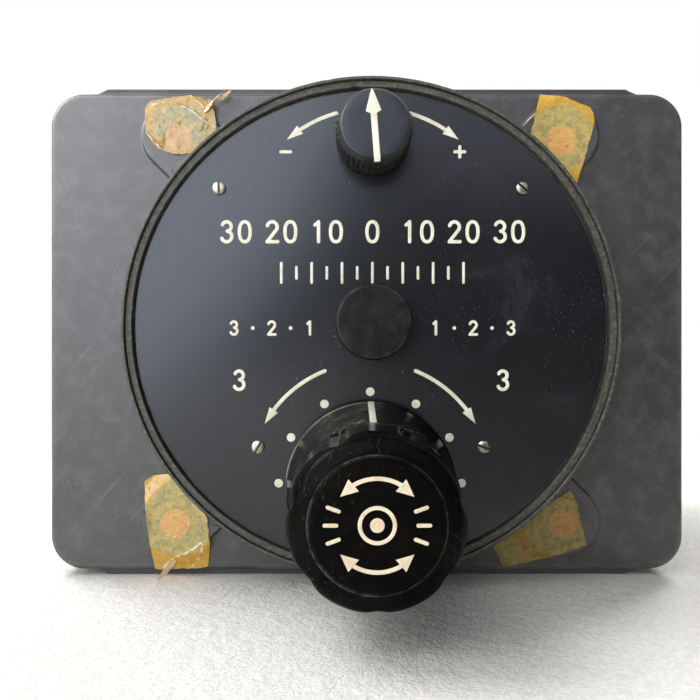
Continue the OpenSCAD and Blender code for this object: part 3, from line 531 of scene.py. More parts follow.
# Light, dark and stain tones, roughness from and to, metal share, scale and direction of the grain, relief
plainLooks = {
    "screwSteel": ((190, 186, 168), (124, 118, 94), (62, 48, 32), (0.26, 0.46), 1.0, 420, (1, 1, 0.12), 0.02),
    "shaftSteel": ((190, 190, 188), (150, 150, 148), (110, 100, 84), (0.18, 0.34), 1.0, 300, (1, 0.1, 1), 0.008),
    "springSteel": ((150, 150, 150), (104, 104, 104), (92, 72, 50), (0.25, 0.45), 1.0, 500, (1, 1, 1), 0.01),
    "brass": ((208, 176, 100), (160, 128, 64), (96, 74, 40), (0.24, 0.44), 1.0, 340, (1, 0.15, 1), 0.01),
    "deckMetal": ((186, 187, 184), (158, 159, 156), (120, 116, 104), (0.34, 0.5), 1.0, 180, (0.08, 1, 1), 0.012),
    "connectorMetal": ((176, 174, 166), (140, 138, 128), (92, 86, 70), (0.36, 0.55), 1.0, 260, (1, 0.4, 1), 0.02),
    "contactMetal": ((222, 196, 128), (190, 160, 92), (128, 104, 60), (0.16, 0.3), 1.0, 500, (1, 0.2, 1), 0.006),
    "transmitterMetal": ((62, 62, 64), (48, 48, 50), (88, 84, 74), (0.4, 0.55), 0.0, 160, (1, 1, 1), 0.03),
    "gasketRubber": ((50, 49, 47), (36, 35, 34), (84, 80, 70), (0.6, 0.8), 0.0, 300, (1, 1, 1), 0.05),
    "phenolic": ((112, 76, 44), (88, 58, 34), (60, 38, 22), (0.34, 0.5), 0.0, 260, (0.12, 1, 1), 0.03),
    "insulator": ((50, 46, 42), (38, 35, 32), (74, 66, 54), (0.38, 0.52), 0.0, 200, (1, 1, 1), 0.02),
    "harness": ((168, 156, 122), (126, 114, 84), (84, 74, 52), (0.6, 0.8), 0.0, 700, (1, 0.5, 1), 0.12),
}


# Bare metals, mouldings and the harness: a drawn grain between two tones, stains, uneven gloss, and screw slots
# darkened in the stain tone as slot dirt and painted shade
def makePlainFinish(name, light, dark, stained, roughness, metal, scale, draw, relief):
    f = Finish(name)
    grain = f.noise(1, 4, 0.65, f.stretched([scale * d for d in draw]))
    f.colour = f.mix(f.rise(grain, 0.32, 0.68), tone(*dark), tone(*light))
    stain = f.cloud(scale * 0.7, 0.55, 0.72, 5, 0.72) * f.cloud(90, 0.4, 0.62, 2)
    # Screw slots (groove) take the stain tone: slot dirt and painted shade
    f.coat(stain * 0.6 | f.value("groove") * 0.9, tone(*stained))
    rough = f.rise(grain, 0.3, 0.7, *roughness) + stain * 0.2
    return f.done(rough, grain + f.noise(scale * 4) * 0.5, relief, 0.6, Metallic=metal)


finishes = {name: makePlainFinish(name, *look) for name, look in plainLooks.items()}
finishes.update(casePaint=makeCasePaint(), bezelPaint=makeBezelPaint(), dialPaint=makeDialPaint())
# The lower right tape's colour is multiplied by 0.44: partly its dirt, partly painted shade
variants = [(makeInlayPaint, "inlayPaint", (252, 250, 236), (232, 228, 204)),  # light and dark tone
            (makeInlayPaint, "capPaint", (240, 228, 204), (226, 204, 172)),
            (makeBakelite, "bakelite", 1.0), (makeBakelite, "capBakelite", 0.35),  # dust
            (makeKnobPlastic, "alignPlastic", 0.55, 0.75, 0.14),  # bloom, angle of the scratches, shine
            (makeKnobPlastic, "gainPlastic", 0.2, 0.45, 0.5),
            (makeTapeFilm, "tapeGlossy", 1.0, 0.2, 0.06), (makeTapeFilm, "tapeBright", 0.86, 0.2, 0.05),
            (makeTapeFilm, "tapeMatt", 1.1, 0.5, 0.14), (makeTapeFilm, "tapeDull", 0.44, 0.42, 0.42)]
for make, name, *values in variants:
    finishes[name] = make(name, *values)
print("finishes made:", len(finishes))

# Each CAD node's finish is named as its slot in the record, apart from two slots that have several finishes
slotFinish = {"knobPlastic": "alignPlastic", "tape": "tapeMatt"}
for row in frame["record"]["subparts"]:
    node, slot = cadNodes[row["node"]], row["material_slot"]
    first, *others = slot.split("_")
    name = first + "".join(word.title() for word in others)
    node.data.materials.clear()
    node.data.materials.append(finishes[slotFinish.get(name, name)])


# Case: one closed shell with both rails, and the four lugs on its face

caseShape = Values(
    width=178, height=134, front=1.6, wallInside=4.1, back=103.2, corner=9.3, wall=2.5, centre=(-0.9, -1.0),
    bevel=0.9, throat=62.0, bezelEdge=66.5, faceEdge=2.2, railWidth=153, railHeight=1.6, ramp=3.2,
    railFront=2.6, railBack=100.2, cornerSteps=14)


# Outline of the case as points, outward normals and the share of the rail's height;
# the top and bottom sides have points where the rails start and end
def caseOutline():
    c = caseShape
    half = np.array([c.width, c.height]) / 2
    end = c.railWidth / 2
    marks = np.array([end, end - 0.35, end - 2.9, end - c.ramp, end - 3.6])
    span = np.linspace(-half[0] + c.corner, half[0] - c.corner, 31)
    alongX = np.sort(np.concatenate([span[1:-1], marks, -marks]))
    alongZ = np.linspace(-half[1] + c.corner, half[1] - c.corner, 25)[1:-1]
    outline, normal = roundedRectangle(half, c.corner, c.cornerSteps, alongX, alongZ)
    return outline + c.centre, normal, np.clip((end - np.abs(outline[:, 0])) / c.ramp, 0, 1)


# Case shell: rings from the throat over the face, round the front edge, along the sides with the rails
# pushed out along the normals, round the rear edge and back along the inside
def caseGrid():
    c = caseShape
    outside, normal, rail = caseOutline()
    circle = onCircle(np.arctan2(outside[:, 1], outside[:, 0]))
    throat, ledge = circle * c.throat, circle * c.bezelEdge
    inward = lambda distance: outside - normal * distance
    rings = [(throat, c.wallInside, 0), (throat, c.front + 0.3, 0), (circle * (c.throat + 0.3), c.front, 0)]
    for share in (0, 0.25, 0.5, 0.75, 1):
        rings.append((ledge * (1 - share) + inward(c.faceEdge) * share, c.front, 0))
    rings.append((inward(c.bevel + 0.25), c.front, 0.25))
    for a in np.linspace(0, math.pi / 2, 7):
        wear = math.sin(2 * a) ** 0.5 if 0 < a < 1.5 else 0.5
        rings.append((inward(c.bevel * (1 - math.sin(a))), c.front + c.bevel * (1 - math.cos(a)), wear))
    ramps = (rail > 0) & (rail < 1)
    edge = 0.5 * ramps + 0.5 * (rail > 0)
    push = (rail * c.railHeight)[:, None] * normal
    rings += [(outside, c.front + c.bevel + 0.15, 0.2), (outside, c.railFront, 0),
              (outside + push * 0.82, c.railFront, edge), (outside + push, c.railFront + 0.3, edge)]
    along = np.linspace(c.railFront + 0.6, c.railBack - 0.6, 14)
    rings += [(outside + push, depth, 0.3 * ramps) for depth in along]
    rings += [(outside + push, c.railBack - 0.3, edge), (outside + push * 0.82, c.railBack, edge),
              (outside, c.railBack, 0), (outside, c.back - 0.5, 0), (inward(0.1), c.back - 0.12, 0.9),
              (inward(0.4), c.back, 0.6), (inward(c.wall), c.back, 0), (inward(c.wall), c.back - 0.4, 0),
              (inward(c.wall), c.wallInside + 0.4, 0), (inward(c.wall + 0.4), c.wallInside, 0)]
    return ringGrid(rings)


lugShape = Values(pitch=107.95, radius=10.0, hole=4.0, cut=68.6, face=0.0, foot=1.6, edge=0.55, fillet=0.6)


# Outline of the lug at (i, k) as points and normals: an arc of the round end, two straight sides of its arm,
# and the arc of the gap round the bezel, which the arm ends in
def lugOutline(i, k):
    g = lugShape
    toward = -np.array([i, k]) / math.sqrt(2)
    axes = np.array([toward, [-toward[1], toward[0]]])
    distance, half = g.pitch / math.sqrt(2), math.asin(g.radius / g.cut)
    end = onCircle(np.linspace(math.pi / 2, 3 * math.pi / 2, 60))
    slide = np.linspace(0, 1, 9)[1:-1, None]
    side = np.hstack([(distance - g.cut * math.cos(half)) * slide, -g.radius + 0 * slide])
    gap = onCircle(-np.linspace(-half, half, 24))
    local = np.vstack([end * g.radius, side, [distance, 0] - g.cut * gap, side[::-1] * [1, -1]])
    down, up = [np.tile([0.0, sign], (len(side), 1)) for sign in (-1, 1)]
    place = np.array([i, k]) * g.pitch / 2
    return place, place + local @ axes, np.vstack([end, down, gap, up]) @ axes


# Lug: from the hole over the flat face, round the top edge, down the wall and out in a fillet to the case
def lugGrid(i, k):
    g = lugShape
    place, outline, normal = lugOutline(i, k)
    start = (outline - place) / np.linalg.norm(outline - place, axis=1, keepdims=True)
    hole, rim = place + start * g.hole, place + start * (g.hole + 0.2)
    inset = outline - normal * (g.edge + 0.2)
    rings = [(hole, g.foot + 0.4, 0), (hole, g.face + 0.2, 0), (rim, g.face, 0)]
    rings += [(rim * (1 - share) + inset * share, g.face, 0.2 * (share == 1)) for share in (0.3, 0.6, 1)]
    quarter = np.linspace(0, math.pi / 2, 5)
    rings += [(outline - normal * g.edge * (1 - math.sin(a)), g.face + g.edge * (1 - math.cos(a)),
               0.35 + 0.65 * math.sin(2 * a)) for a in quarter]
    rings += [(outline + normal * g.fillet * (1 - math.cos(a)), g.foot - g.fillet * (1 - math.sin(a)), 0)
              for a in quarter]
    return ringGrid(rings + [(outline + normal * (g.fillet + 0.05), g.foot + 0.4, 0)])


addPiece("caseShell", [caseGrid()] + [lugGrid(i, k) for i in (-1, 1) for k in (-1, 1)], "casePaint",
         "case", ["case_body"])
print("case made")


# Bezel and the ring in it

bezelShape = Values(
    outer=66.8, lip=65.95, front=-10.2, seat=-4.0, throat=62.0, lugPlane=0.0, caseFace=1.6, spigot=65.1,
    ringOuter=65.85, ringInner=64.15, ringFront=-9.0, ringMiddle=-8.97, ringInside=-8.75, steps=540,
    dents=46, dentDepth=0.16, notch=93.7, notchWidth=0.014)


# Dents: narrow bumps at random angles, each with its own depth and width, summed per angle
def dents(steps, count, seed, depth):
    draw = np.random.default_rng(seed)
    centres = draw.random(count) * 2 * math.pi
    sizes, widths = draw.random(count) ** 3, 0.004 + draw.random(count) * 0.012
    gap = (fullTurn(steps)[None] - centres[:, None] + math.pi) % (2 * math.pi) - math.pi
    return depth * (sizes[:, None] * np.exp(-(gap / widths[:, None]) ** 2)).sum(0)


# Wear near the given corners of a profile: 1 at a corner, falling to 0 at the reach
def cornerWear(profile, corners, reach):
    gap = np.linalg.norm(np.asarray(profile)[:, None] - np.array(corners, float)[None], axis=2).min(1)
    return (1 - smooth(gap, reach * 0.4, reach))[:, None]


# Bezel and ring: turned sections with round edges; dents push their corners back, and the ring has a notch
def makeBezel():
    b = bezelShape
    profile = roundedProfile([
        (b.lip, b.seat, 0), (b.lip, b.front, 0.22), (b.outer, b.front, 0.34), (b.outer, b.lugPlane, 0.1),
        (b.spigot, b.lugPlane, 0), (b.spigot, b.caseFace, 0.1), (b.throat, b.caseFace, 0.2),
        (b.throat, b.seat, 0.1)], closed=True)
    near = cornerWear(profile, [(b.outer, b.front)], 1.0)
    worn = dents(b.steps, b.dents, 11, b.dentDepth)
    part = turned(profile, steps=b.steps, ripple=-near * worn, lift=near * worn * 0.7, closed=True,
                  wear=cornerWear(profile, [(b.outer, b.front), (b.lip, b.front)], 0.75))
    addPiece("bezelRing", [part], "bezelPaint", "case", ["bezel_ring"])
    profile = roundedProfile([
        (b.ringInner, b.seat, 0.1), (b.ringInner, b.ringInside, 0.04),
        (b.ringInner + 0.12, b.ringMiddle, 0.04), (b.ringOuter, b.ringFront, 0.16),
        (b.ringOuter, b.seat, 0.1)], closed=True)
    near = cornerWear(profile, [(b.ringInner, b.ringInside), (b.ringOuter, b.ringFront)], 0.6)
    gap = fullTurn(b.steps) - math.radians(b.notch)
    notch = cornerWear(profile, [(b.ringInner, b.ringInside)], 0.7) * np.exp(-(gap / b.notchWidth) ** 2)
    part = turned(profile, steps=b.steps, ripple=notch * 0.45, closed=True, wear=near,
                  lift=near * dents(b.steps, b.dents, 12, b.dentDepth * 0.5) + notch * 0.5)
    addPiece("innerRing", [part], "bezelPaint", "case", ["retaining_ring"])


makeBezel()
print("bezel made")


# Marks: strokes with round ends, arrowheads and dots; a level is (surface, depth below it, height over it)

markShape = Values(level=(-7.2, 0.26, 0.03), line=0.5)


# Stroke: a path of (x, z) points with a half width at each; the section is a low flat band with round
# shoulders, and the half width follows a quarter circle beyond each end
def strokeGrid(path, half, level, closed=False, roundEnds=True):
    front, deep, proud = level
    path = np.asarray(path, float)
    half = np.broadcast_to(np.asarray(half, float), len(path)).copy()
    along = np.roll(path, -1, axis=0) - np.roll(path, 1, axis=0) if closed else np.gradient(path, axis=0)
    along = along / np.linalg.norm(along, axis=1, keepdims=True)
    if not closed and roundEnds:
        swing = np.linspace(0, math.pi / 2, 7)[1:, None]
        head = path[0] - along[0] * half[0] * np.sin(swing)
        tail = path[-1] + along[-1] * half[-1] * np.sin(swing)
        path = np.vstack([head[::-1], path, tail])
        half = np.concatenate([(half[0] * np.cos(swing[:, 0]))[::-1], half, half[-1] * np.cos(swing[:, 0])])
        along = np.vstack([np.tile(along[0], (6, 1)), along, np.tile(along[-1], (6, 1))])
    side = np.stack([-along[:, 1], along[:, 0]], -1)
    section = np.array([(-1, deep), (-1, 0), (-0.86, -proud), (0, -proud * 1.15), (0.86, -proud), (1, 0),
                        (1, deep)])
    flat = path[:, None] + side[:, None] * half[:, None, None] * section[None, :, :1]
    return grid(atDepth(flat, front + section[:, 1]), closed, True)


# Arc as (x, z) points: angles in degrees to the right of upright
def arcPath(centre, radius, start, end, count=40):
    a = np.radians(np.linspace(start, end, count))
    return np.stack([centre[0] + radius * np.sin(a), centre[1] + radius * np.cos(a)], -1)


# Arrow along an arc: a stroke and a head, whose half width grows in a straight line from its tip
def arcArrow(centre, radius, start, end, line, headLength, headHalf, level):
    sign = 1 if end > start else -1
    neck = end - sign * math.degrees(headLength / radius)
    shaft = strokeGrid(arcPath(centre, radius, start, neck + sign * 1.2), line, level)
    tip, back = [arcPath(centre, radius, a, a, 1)[0] for a in (end, neck)]
    share = np.linspace(0, 1, 12)[:, None]
    half = 0.02 + (headHalf - 0.02) * share[:, 0]
    head = strokeGrid(tip + (back - tip) * share, half, level, roundEnds=False)
    return [shaft, capped(head.points)]


# Dot: rings of a low dome over a disc
def dotGrid(centre, radius, level, steps=36):
    front, deep, proud = level
    profile = [(0, front - proud * 1.1), (radius * 0.6, front - proud * 1.08), (radius * 0.9, front - proud),
               (radius, front), (radius, front + deep), (0, front + deep)]
    return turned(profile, centre, steps)


# Numerals as strokes in a box one unit high: a narrow ring, a bar with a flag, or arcs and bars
def numeralPaths(digit):
    arc = lambda start, end, count, width, height, middle: (
        [0, middle] + onCircle(np.radians(np.linspace(start, end, count))) * [width, height])
    level, upright = np.array([[-0.3, 0], [0, 0], [0.3, 0]]), np.array([[0, -0.3], [0, 0], [0, 0.3]])
    if digit == "0":
        ring = onCircle(fullTurn(48))
        return [(np.sign(ring) * np.abs(ring) ** 0.86 * [0.27, 0.5], True)]
    if digit == "1":
        return [(np.array([[0.04, 0.5], [0.04, 0], [0.04, -0.5]]), False),
                (np.array([[0.04, 0.5], [-0.04, 0.42], [-0.14, 0.34]]), False)]
    if digit == "2":
        bow = arc(165, -38, 26, 0.25, 0.26, 0.24)
        slope = bow[-1] + (np.array([-0.26, -0.5]) - bow[-1]) * np.linspace(0, 1, 12)[1:, None]
        return [(np.vstack([bow, slope]), False), (np.array([[-0.26, -0.5], [0, -0.5], [0.28, -0.5]]), False)]
    if digit == "3":
        return [(arc(158, -82, 28, 0.23, 0.235, 0.265), False),
                (arc(82, -158, 32, 0.26, 0.265, -0.235), False)]
    return [(level, False)] if digit == "-" else [(level, False), (upright, False)]


# A row of numerals: each one's strokes are scaled to the height and set at an even pitch about the middle
def numeralRow(text, centre, height, pitch, line, level):
    parts = []
    for i, digit in enumerate(text):
        place = np.array(centre) + [(i - (len(text) - 1) / 2) * pitch, 0]
        for path, closed in numeralPaths(digit):
            parts.append(strokeGrid(place + path * (height - 2 * line), line, level, closed))
    return parts


dialMarks = Values(
    turnCentre=(-0.2, -42.2), gainCentre=(0.5, 23.3), dotRing=24.7, dotRadius=1.16,
    turnArc=(32.7, 22, 60.5), gainArc=(35.8, 16, 40.3), headLength=4.4, headHalf=1.35,
    signs=(("-", -23.0), ("+", 24.0)), signZ=47.3, signHeight=5.4, signLine=0.42, middle=0.4,
    scale="30 20 10 0 10 20 30", scaleZ=25.7, scaleHeight=6.3, scalePitch=12.3, digitPitch=4.9, tickZ=14.6,
    tickPitch=4.1, tallTick=2.6, shortTick=1.5, side="123", sideX=17.0, sidePitch=10.2, sideZ=-0.3,
    sideHeight=4.2, sideDot=0.5, outerX=35.6, outerZ=-14.4, outerHeight=5.9, boldLine=0.46, fineLine=0.36)


# Everything in cream paint on the dial: arrows and dots of the part, and plain numbers and ticks between them
def makeDialMarks():
    d, level = dialMarks, markShape.level
    places = [arcPath(d.turnCentre, d.dotRing, a, a, 1)[0] for a in range(-90, 91, 30)]
    parts = [dotGrid(place, d.dotRadius, level) for place in places]
    head = (markShape.line, d.headLength, d.headHalf, level)
    for sign in (-1, 1):
        for centre, (radius, start, end) in ((d.turnCentre, d.turnArc), (d.gainCentre, d.gainArc)):
            parts += arcArrow(centre, radius, sign * start, sign * end, *head)
    for text, x in d.signs:
        parts += numeralRow(text, (x, d.signZ), d.signHeight, 1, d.signLine, level)
    for i, number in enumerate(d.scale.split()):
        centre = (d.middle + (i - 3) * d.scalePitch, d.scaleZ)
        parts += numeralRow(number, centre, d.scaleHeight, d.digitPitch, d.boldLine, level)
    for i in range(-6, 7):
        x, tall = d.middle + i * d.tickPitch, d.shortTick if i % 2 else d.tallTick
        parts.append(strokeGrid([[x, d.tickZ + a] for a in (-tall, 0, tall)], d.fineLine, level))
    for sign in (-1, 1):
        for i, number in enumerate(d.side):
            x = d.middle + sign * (d.sideX + i * d.sidePitch)
            parts += numeralRow(number, (x, d.sideZ), d.sideHeight, 1, d.fineLine, level)
            if i < 2:
                parts.append(dotGrid((x + sign * d.sidePitch / 2, d.sideZ), d.sideDot, level))
        parts += numeralRow("3", (sign * d.outerX, d.outerZ), d.outerHeight, 1, d.boldLine, level)
    addPiece("dialMarks", parts, "inlayPaint", "case", ["plate_marks"])


makeDialMarks()
print("dial marks made")


# Screws with slotted heads

# Head: sections across the slot; each runs over a low dome, or along the slot's floor, and back underneath.
# At radius r the dome is height * (1 - 0.3 (r / radius)^4), and the slot is where |u| is under its half width
def screwHead(centre, head, angle, direction=-1):
    radius, slotHalf = head.radius, head.slotHalf
    swing = np.sin(np.linspace(-math.pi / 2, math.pi / 2, 27)) * radius
    swing[[0, -1]] = -radius, radius
    slot = [-slotHalf - 0.02, -slotHalf + 0.01, slotHalf - 0.01, slotHalf + 0.02]
    across = np.sort(np.concatenate([swing, slot]))[:, None]
    share = np.sin(np.linspace(-math.pi / 2, math.pi / 2, 21))
    along = np.sqrt(np.clip(radius ** 2 - across ** 2, 0, None)) * share
    top = head.height * (1 - 0.3 * (np.hypot(across, along) / radius) ** 4)
    inSlot = np.abs(across) < slotHalf
    top = np.where(inSlot, head.height - head.slotDepth, top)
    u, v = np.hstack([across + 0 * along] * 2), np.hstack([along, along[:, ::-1]])
    depth = head.seat + direction * np.hstack([top, np.full(top.shape, -0.25)])
    c, s = math.cos(angle), math.sin(angle)
    flat = np.stack([centre[0] + u * c - v * s, centre[1] + u * s + v * c], -1)
    return grid(atDepth(flat, depth), False, True, groove=np.hstack([inSlot + 0.0 * along, 0 * along]))


dialScrews = Values(
    seat=-7.2, radius=1.7, height=1.1, slotHalf=0.3, slotDepth=0.6,
    screws=[(-40.9, 37.4, 4), (40.9, 37.4, 48), (-30.4, -32.4, -30), (30.4, -32.4, 70)])
coverScrews = Values(seat=106.0, radius=3.2, height=2.2, slotHalf=0.3, slotDepth=1.2, x=81, z=59)


def makeScrews():
    heads = [screwHead((x, z), dialScrews, math.radians(turn)) for x, z, turn in dialScrews.screws]
    addPiece("dialScrews", heads, "screwSteel", "case", ["face_screws"])
    c, (x, z) = coverScrews, caseShape.centre
    places = [(i, k) for i in (-1, 0, 1) for k in (-1, 0, 1) if i or k]
    heads = [screwHead((x + i * c.x, z + k * c.z), c, 0.7 * n, 1) for n, (i, k) in enumerate(places)]
    addPiece("coverScrews", heads, "screwSteel", "case", ["cover_screws"])


makeScrews()


# Turn knob: skirt, grip with seven lobes, cap, marks and pointer

turnKnob = Values(
    centre=(-0.2, -42.2), plate=-7.2, skirt=22.4, rimLow=5.2, rimHigh=6.7, skirtTop=(18.7, 27.0), lobe=19.1,
    hollow=1.15, hollowAt=270.5, lobes=7, hollowWidth=7.5, blend=6.0, cap=14.3, top=49.8, sink=0.3,
    capThick=1.6, well=(13.0, 20.0), bore=(6.5, 40.0), screwHeight=33.0, screwRadius=1.6, screwBottom=10.9,
    steps=504)


# Radius of the grip by angle: lobe - hollow * exp(-(angle from the nearest hollow / width)^2)
def gripRadius(degrees):
    k = turnKnob
    step = 360 / k.lobes
    off = (degrees - k.hollowAt + step / 2) % step - step / 2
    return k.lobe - k.hollow * np.exp(-(off / k.hollowWidth) ** 2)


# Section of the knob as (radius, height over the dial), from its bore over the skirt and grip to its face
def turnProfile(floor):
    k = turnKnob
    well, rim, top = k.well, k.rimHigh, k.skirtTop
    skirt = roundedProfile([
        (*k.bore, 0), (k.bore[0], well[1], 0.3), (*well, 0.3), (well[0], k.rimLow, 0.3),
        (k.skirt, k.rimLow, 0.3), (k.skirt, rim - 0.15, 0.15), (k.skirt - 0.3, rim + 0.2, 0.15),
        (top[0], top[1] - 0.1, 0)])
    slope = np.linspace(0, 1, 14)[1:-1, None]
    skirt = np.vstack([[[0, k.bore[1]]], skirt[:-1], skirt[-2] + (skirt[-1] - skirt[-2]) * slope, skirt[-1:]])
    heights = np.concatenate([[27.1, 27.3, 27.8, 29, 30.4], np.arange(31, 35.3, 0.17),
                              [36, 38, 40, 42, 44, 45.5, 46.4]])
    wall = np.stack([np.full(len(heights), 30.0), heights], -1)
    shoulder = [[19.3, 46.7], [19.0, 47.0], [18.75, 47.45], [18.5, 47.9], [18.1, 48.4], [17.6, 48.85],
                [16.8, 49.25], [15.9, 49.55], [15.1, 49.72], [14.6, 49.8], [14.38, 49.76], [14.3, 49.6]]
    face = [[k.cap, floor + 0.05], [k.cap - 0.2, floor], [6, floor], [0, floor]]
    return np.vstack([skirt, wall, shoulder, face])


# Knob: above the skirt the radius is a soft minimum of the profile and the grip's radius by angle, and two
# set screw holes go in to the screws' heads; the cap lies in the face, with its marks on it
def makeTurnKnob():
    k = turnKnob
    capTop = k.top - k.sink
    floor = capTop - k.capThick
    profile, angle = turnProfile(floor), fullTurn(k.steps)
    grip = gripRadius(np.degrees(angle))[None]
    r, h = profile[:, :1], profile[:, 1:2]
    lobed = (h > k.skirtTop[1]) & (r > k.cap)
    soft = -np.log(np.exp(-k.blend * (r - 15)) + np.exp(-k.blend * (grip - 15))) / k.blend + 15
    root = smooth(h, 26.9, 28.0)
    shaped = np.where(lobed, soft * root + np.minimum(soft, k.skirtTop[0] + 0.05) * (1 - root), r)
    hole = 0 * shaped
    for index in (0, 2):
        at = math.radians(k.hollowAt + index * 360 / k.lobes)
        gap = (angle[None] - at + math.pi) % (2 * math.pi) - math.pi
        distance = np.hypot(gap * (k.lobe - k.hollow), h - k.screwHeight)
        hole = np.maximum(hole, (1 - smooth(distance, k.screwRadius - 0.06, k.screwRadius + 0.1)) * lobed)
    shaped = shaped * (1 - hole) + k.screwBottom * hole
    flat = np.array(k.centre) + shaped[..., None] * onCircle(angle)
    part = grid(atDepth(flat, k.plate - h), False, True)
    addPiece("turnKnob", [part], "bakelite", "turn_button", ["turn_knob"])

    rim = k.cap - 0.08
    cap = [(0, floor), (rim - 0.1, floor), (rim, floor + 0.1), (rim, capTop - 0.35),
           (rim - 0.1, capTop - 0.1), (rim - 0.35, capTop), (rim - 1.2, capTop + 0.02), (8, capTop), (0, capTop)]
    part = turned([(r, k.plate - h) for r, h in cap], k.centre, 240)
    addPiece("turnKnobCap", [part], "capBakelite", "turn_button", ["knob_cap"])

    level = (k.plate - capTop, 0.1, 0.03)
    ring = arcPath(k.centre, 3.6, 0, 355, 72)
    parts = [dotGrid(k.centre, 1.5, level), strokeGrid(ring, 0.42, level, closed=True)]
    for sign in (-1, 1):
        for turn in (0, 180):
            parts += arcArrow(k.centre, 9.6, turn, turn + sign * 52, 0.46, 3.6, 1.7, level)
    for turn in (70, 90, 110, 250, 270, 290):
        ray = [arcPath(k.centre, r, turn, turn, 1)[0] for r in (8.4, 9.6, 10.8)]
        parts.append(strokeGrid(ray, 0.42, level))
    addPiece("turnKnobMarks", parts, "capPaint", "turn_button")


pointerBar = Values(half=0.8, low=5.6, high=26.4, proud=0.04, deep=0.35)


# Pointer: a bar that follows the slope of the skirt; at height h the slope's radius is r(h),
# and a point at u across the bar lies at z = sqrt(r^2 - u^2)
def makePointer():
    k, p = turnKnob, pointerBar
    rim = np.linspace(k.rimHigh - 0.2, k.rimHigh + 0.4, 5)
    h = np.concatenate([[p.low], rim, np.linspace(8, p.high, 14)])
    share = np.clip((h - k.rimHigh) / (k.skirtTop[1] - k.rimHigh), 0, 1)
    radius = k.skirt + (k.skirtTop[0] - k.skirt) * share
    section = np.array([(-1, -p.deep), (-1, 0), (-0.85, p.proud), (0, p.proud), (0.85, p.proud), (1, 0),
                        (1, -p.deep)])
    u = section[:, 0] * p.half
    out = np.sqrt((radius[:, None] + section[:, 1]) ** 2 - u ** 2)
    flat = np.stack([k.centre[0] + u + 0 * out, k.centre[1] + out], -1)
    part = capped(atDepth(flat, k.plate - h[:, None]))
    addPiece("pointerBar", [part], "inlayPaint", "turn_button", ["pointer_line"])


returnSpring = Values(radius=9.0, wire=0.7, start=-26.45, end=-8.8, turns=6, steps=48, sides=10, travel=2.0)


# Return spring: wire round a helix, x = radius cos t, z = radius sin t, depth even with t
def makeReturnSpring():
    s, (x, z) = returnSpring, turnKnob.centre
    t = np.linspace(0, 2 * math.pi * s.turns, s.turns * s.steps + 1)[:, None]
    around = fullTurn(s.sides)[None]
    r = s.radius + s.wire * np.cos(around)
    depth = s.start + (s.end - s.start) * t / t[-1] + s.wire * np.sin(around)
    rows = np.stack([x + r * np.cos(t), depth, z + r * np.sin(t)], -1)
    piece = addPiece("returnSpring", [capped(rows)], "springSteel", "turn_button",
                     ["return_spring"])
    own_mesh(piece)


makeTurnKnob()
makePointer()
makeReturnSpring()
print("turn knob made")


# Small knobs: knurled sides, a flat or bevelled face

smallKnobs = Values(
    alignKnob=Values(centre=(0.4, 1.0), height=12.4, bevel=0.35, body="alignment", node="align_knob",
                     finish="alignPlastic"),
    gainKnob=Values(centre=(0.5, 50.6), height=14.2, bevel=1.4, body="gain", node="gain_knob",
                    finish="gainPlastic"),
    plate=-7.2, ridges=40, low=9.7, high=10.0, side=9.45, rim=9.5, pebble=0.2, steps=480)


# Side radius: low + (high - low) * |cos(20 angle)|^0.7 + pebble * lattice noise over arc and height,
# faded out at both ends of the knurl and at the smooth rim
def makeSmallKnob(name):
    s, k = smallKnobs, smallKnobs[name]
    h, bevel, base, edge = k.height, k.bevel, s.side, s.rim
    inside = [(0, 10), (3.17, 10), (3.17, 2.95), (3.3, 2.9), (7.9, 2.9), (8, 2.8), (8, 1.05), (8.1, 1)]
    side = [(base - 0.5, 1.0), (base - 0.25, 1.08), (base - 0.05, 1.35), (base, 1.8)]
    side += [(base, a) for a in np.linspace(2.1, h - 2.4, 34)]
    side += [(base, h - 2.2), (base + 0.04, h - 2.02), (base + 0.05, h - 1.9)]
    if bevel > 1:
        face = [(edge, h - bevel - 0.12), (edge - 0.03, h - bevel), (edge - 0.12, h - bevel + 0.14),
                (edge - 0.95, h - 0.14), (edge - 1.1, h - 0.03), (edge - 1.25, h)]
    else:
        face = [(edge, h - bevel - 0.1), (edge - 0.04, h - bevel), (edge - 0.14, h - 0.1),
                (edge - 0.32, h - 0.01), (edge - 0.5, h)]
    profile = np.array(inside + side + face + [(6, h), (3, h), (0, h)])
    angle = fullTurn(s.steps)
    ridge = np.abs(np.cos(angle * s.ridges / 2)) ** 0.7
    start, end = len(inside), len(inside) + len(side)
    knurled, worn = np.zeros((len(profile), 1)), np.zeros((len(profile), 1))
    knurled[start + 1:end - 2] = 1
    knurled[[start + 1, end - 3]] = 0.6
    worn[[end + 1, end + len(face) - 2]] = 1
    arc, up, cell = angle[None] * base, profile[:, 1:2], 2 * math.pi * base / 128
    pebbles = latticeNoise(arc, up, cell, 21) + 0.6 * latticeNoise(arc, up, cell * 2, 22)
    ripple = knurled * (s.low + (s.high - s.low) * ridge[None] - base + s.pebble * (pebbles - 0.8))
    part = turned(profile * [1, -1] + [0, s.plate], k.centre, s.steps, ripple=ripple,
                  groove=knurled * (1 - ridge[None] * 0.65), wear=worn)
    addPiece(name, [part], k.finish, k.body, [k.node])


gainArrow = Values(
    tilt=4.4, tip=9.4, neck=3.3, notch=2.7, half=0.8, headHalf=1.95, tail=-9.3, flat=8.446, slope=1.349,
    drop=1.4, proud=0.045, deep=0.25)


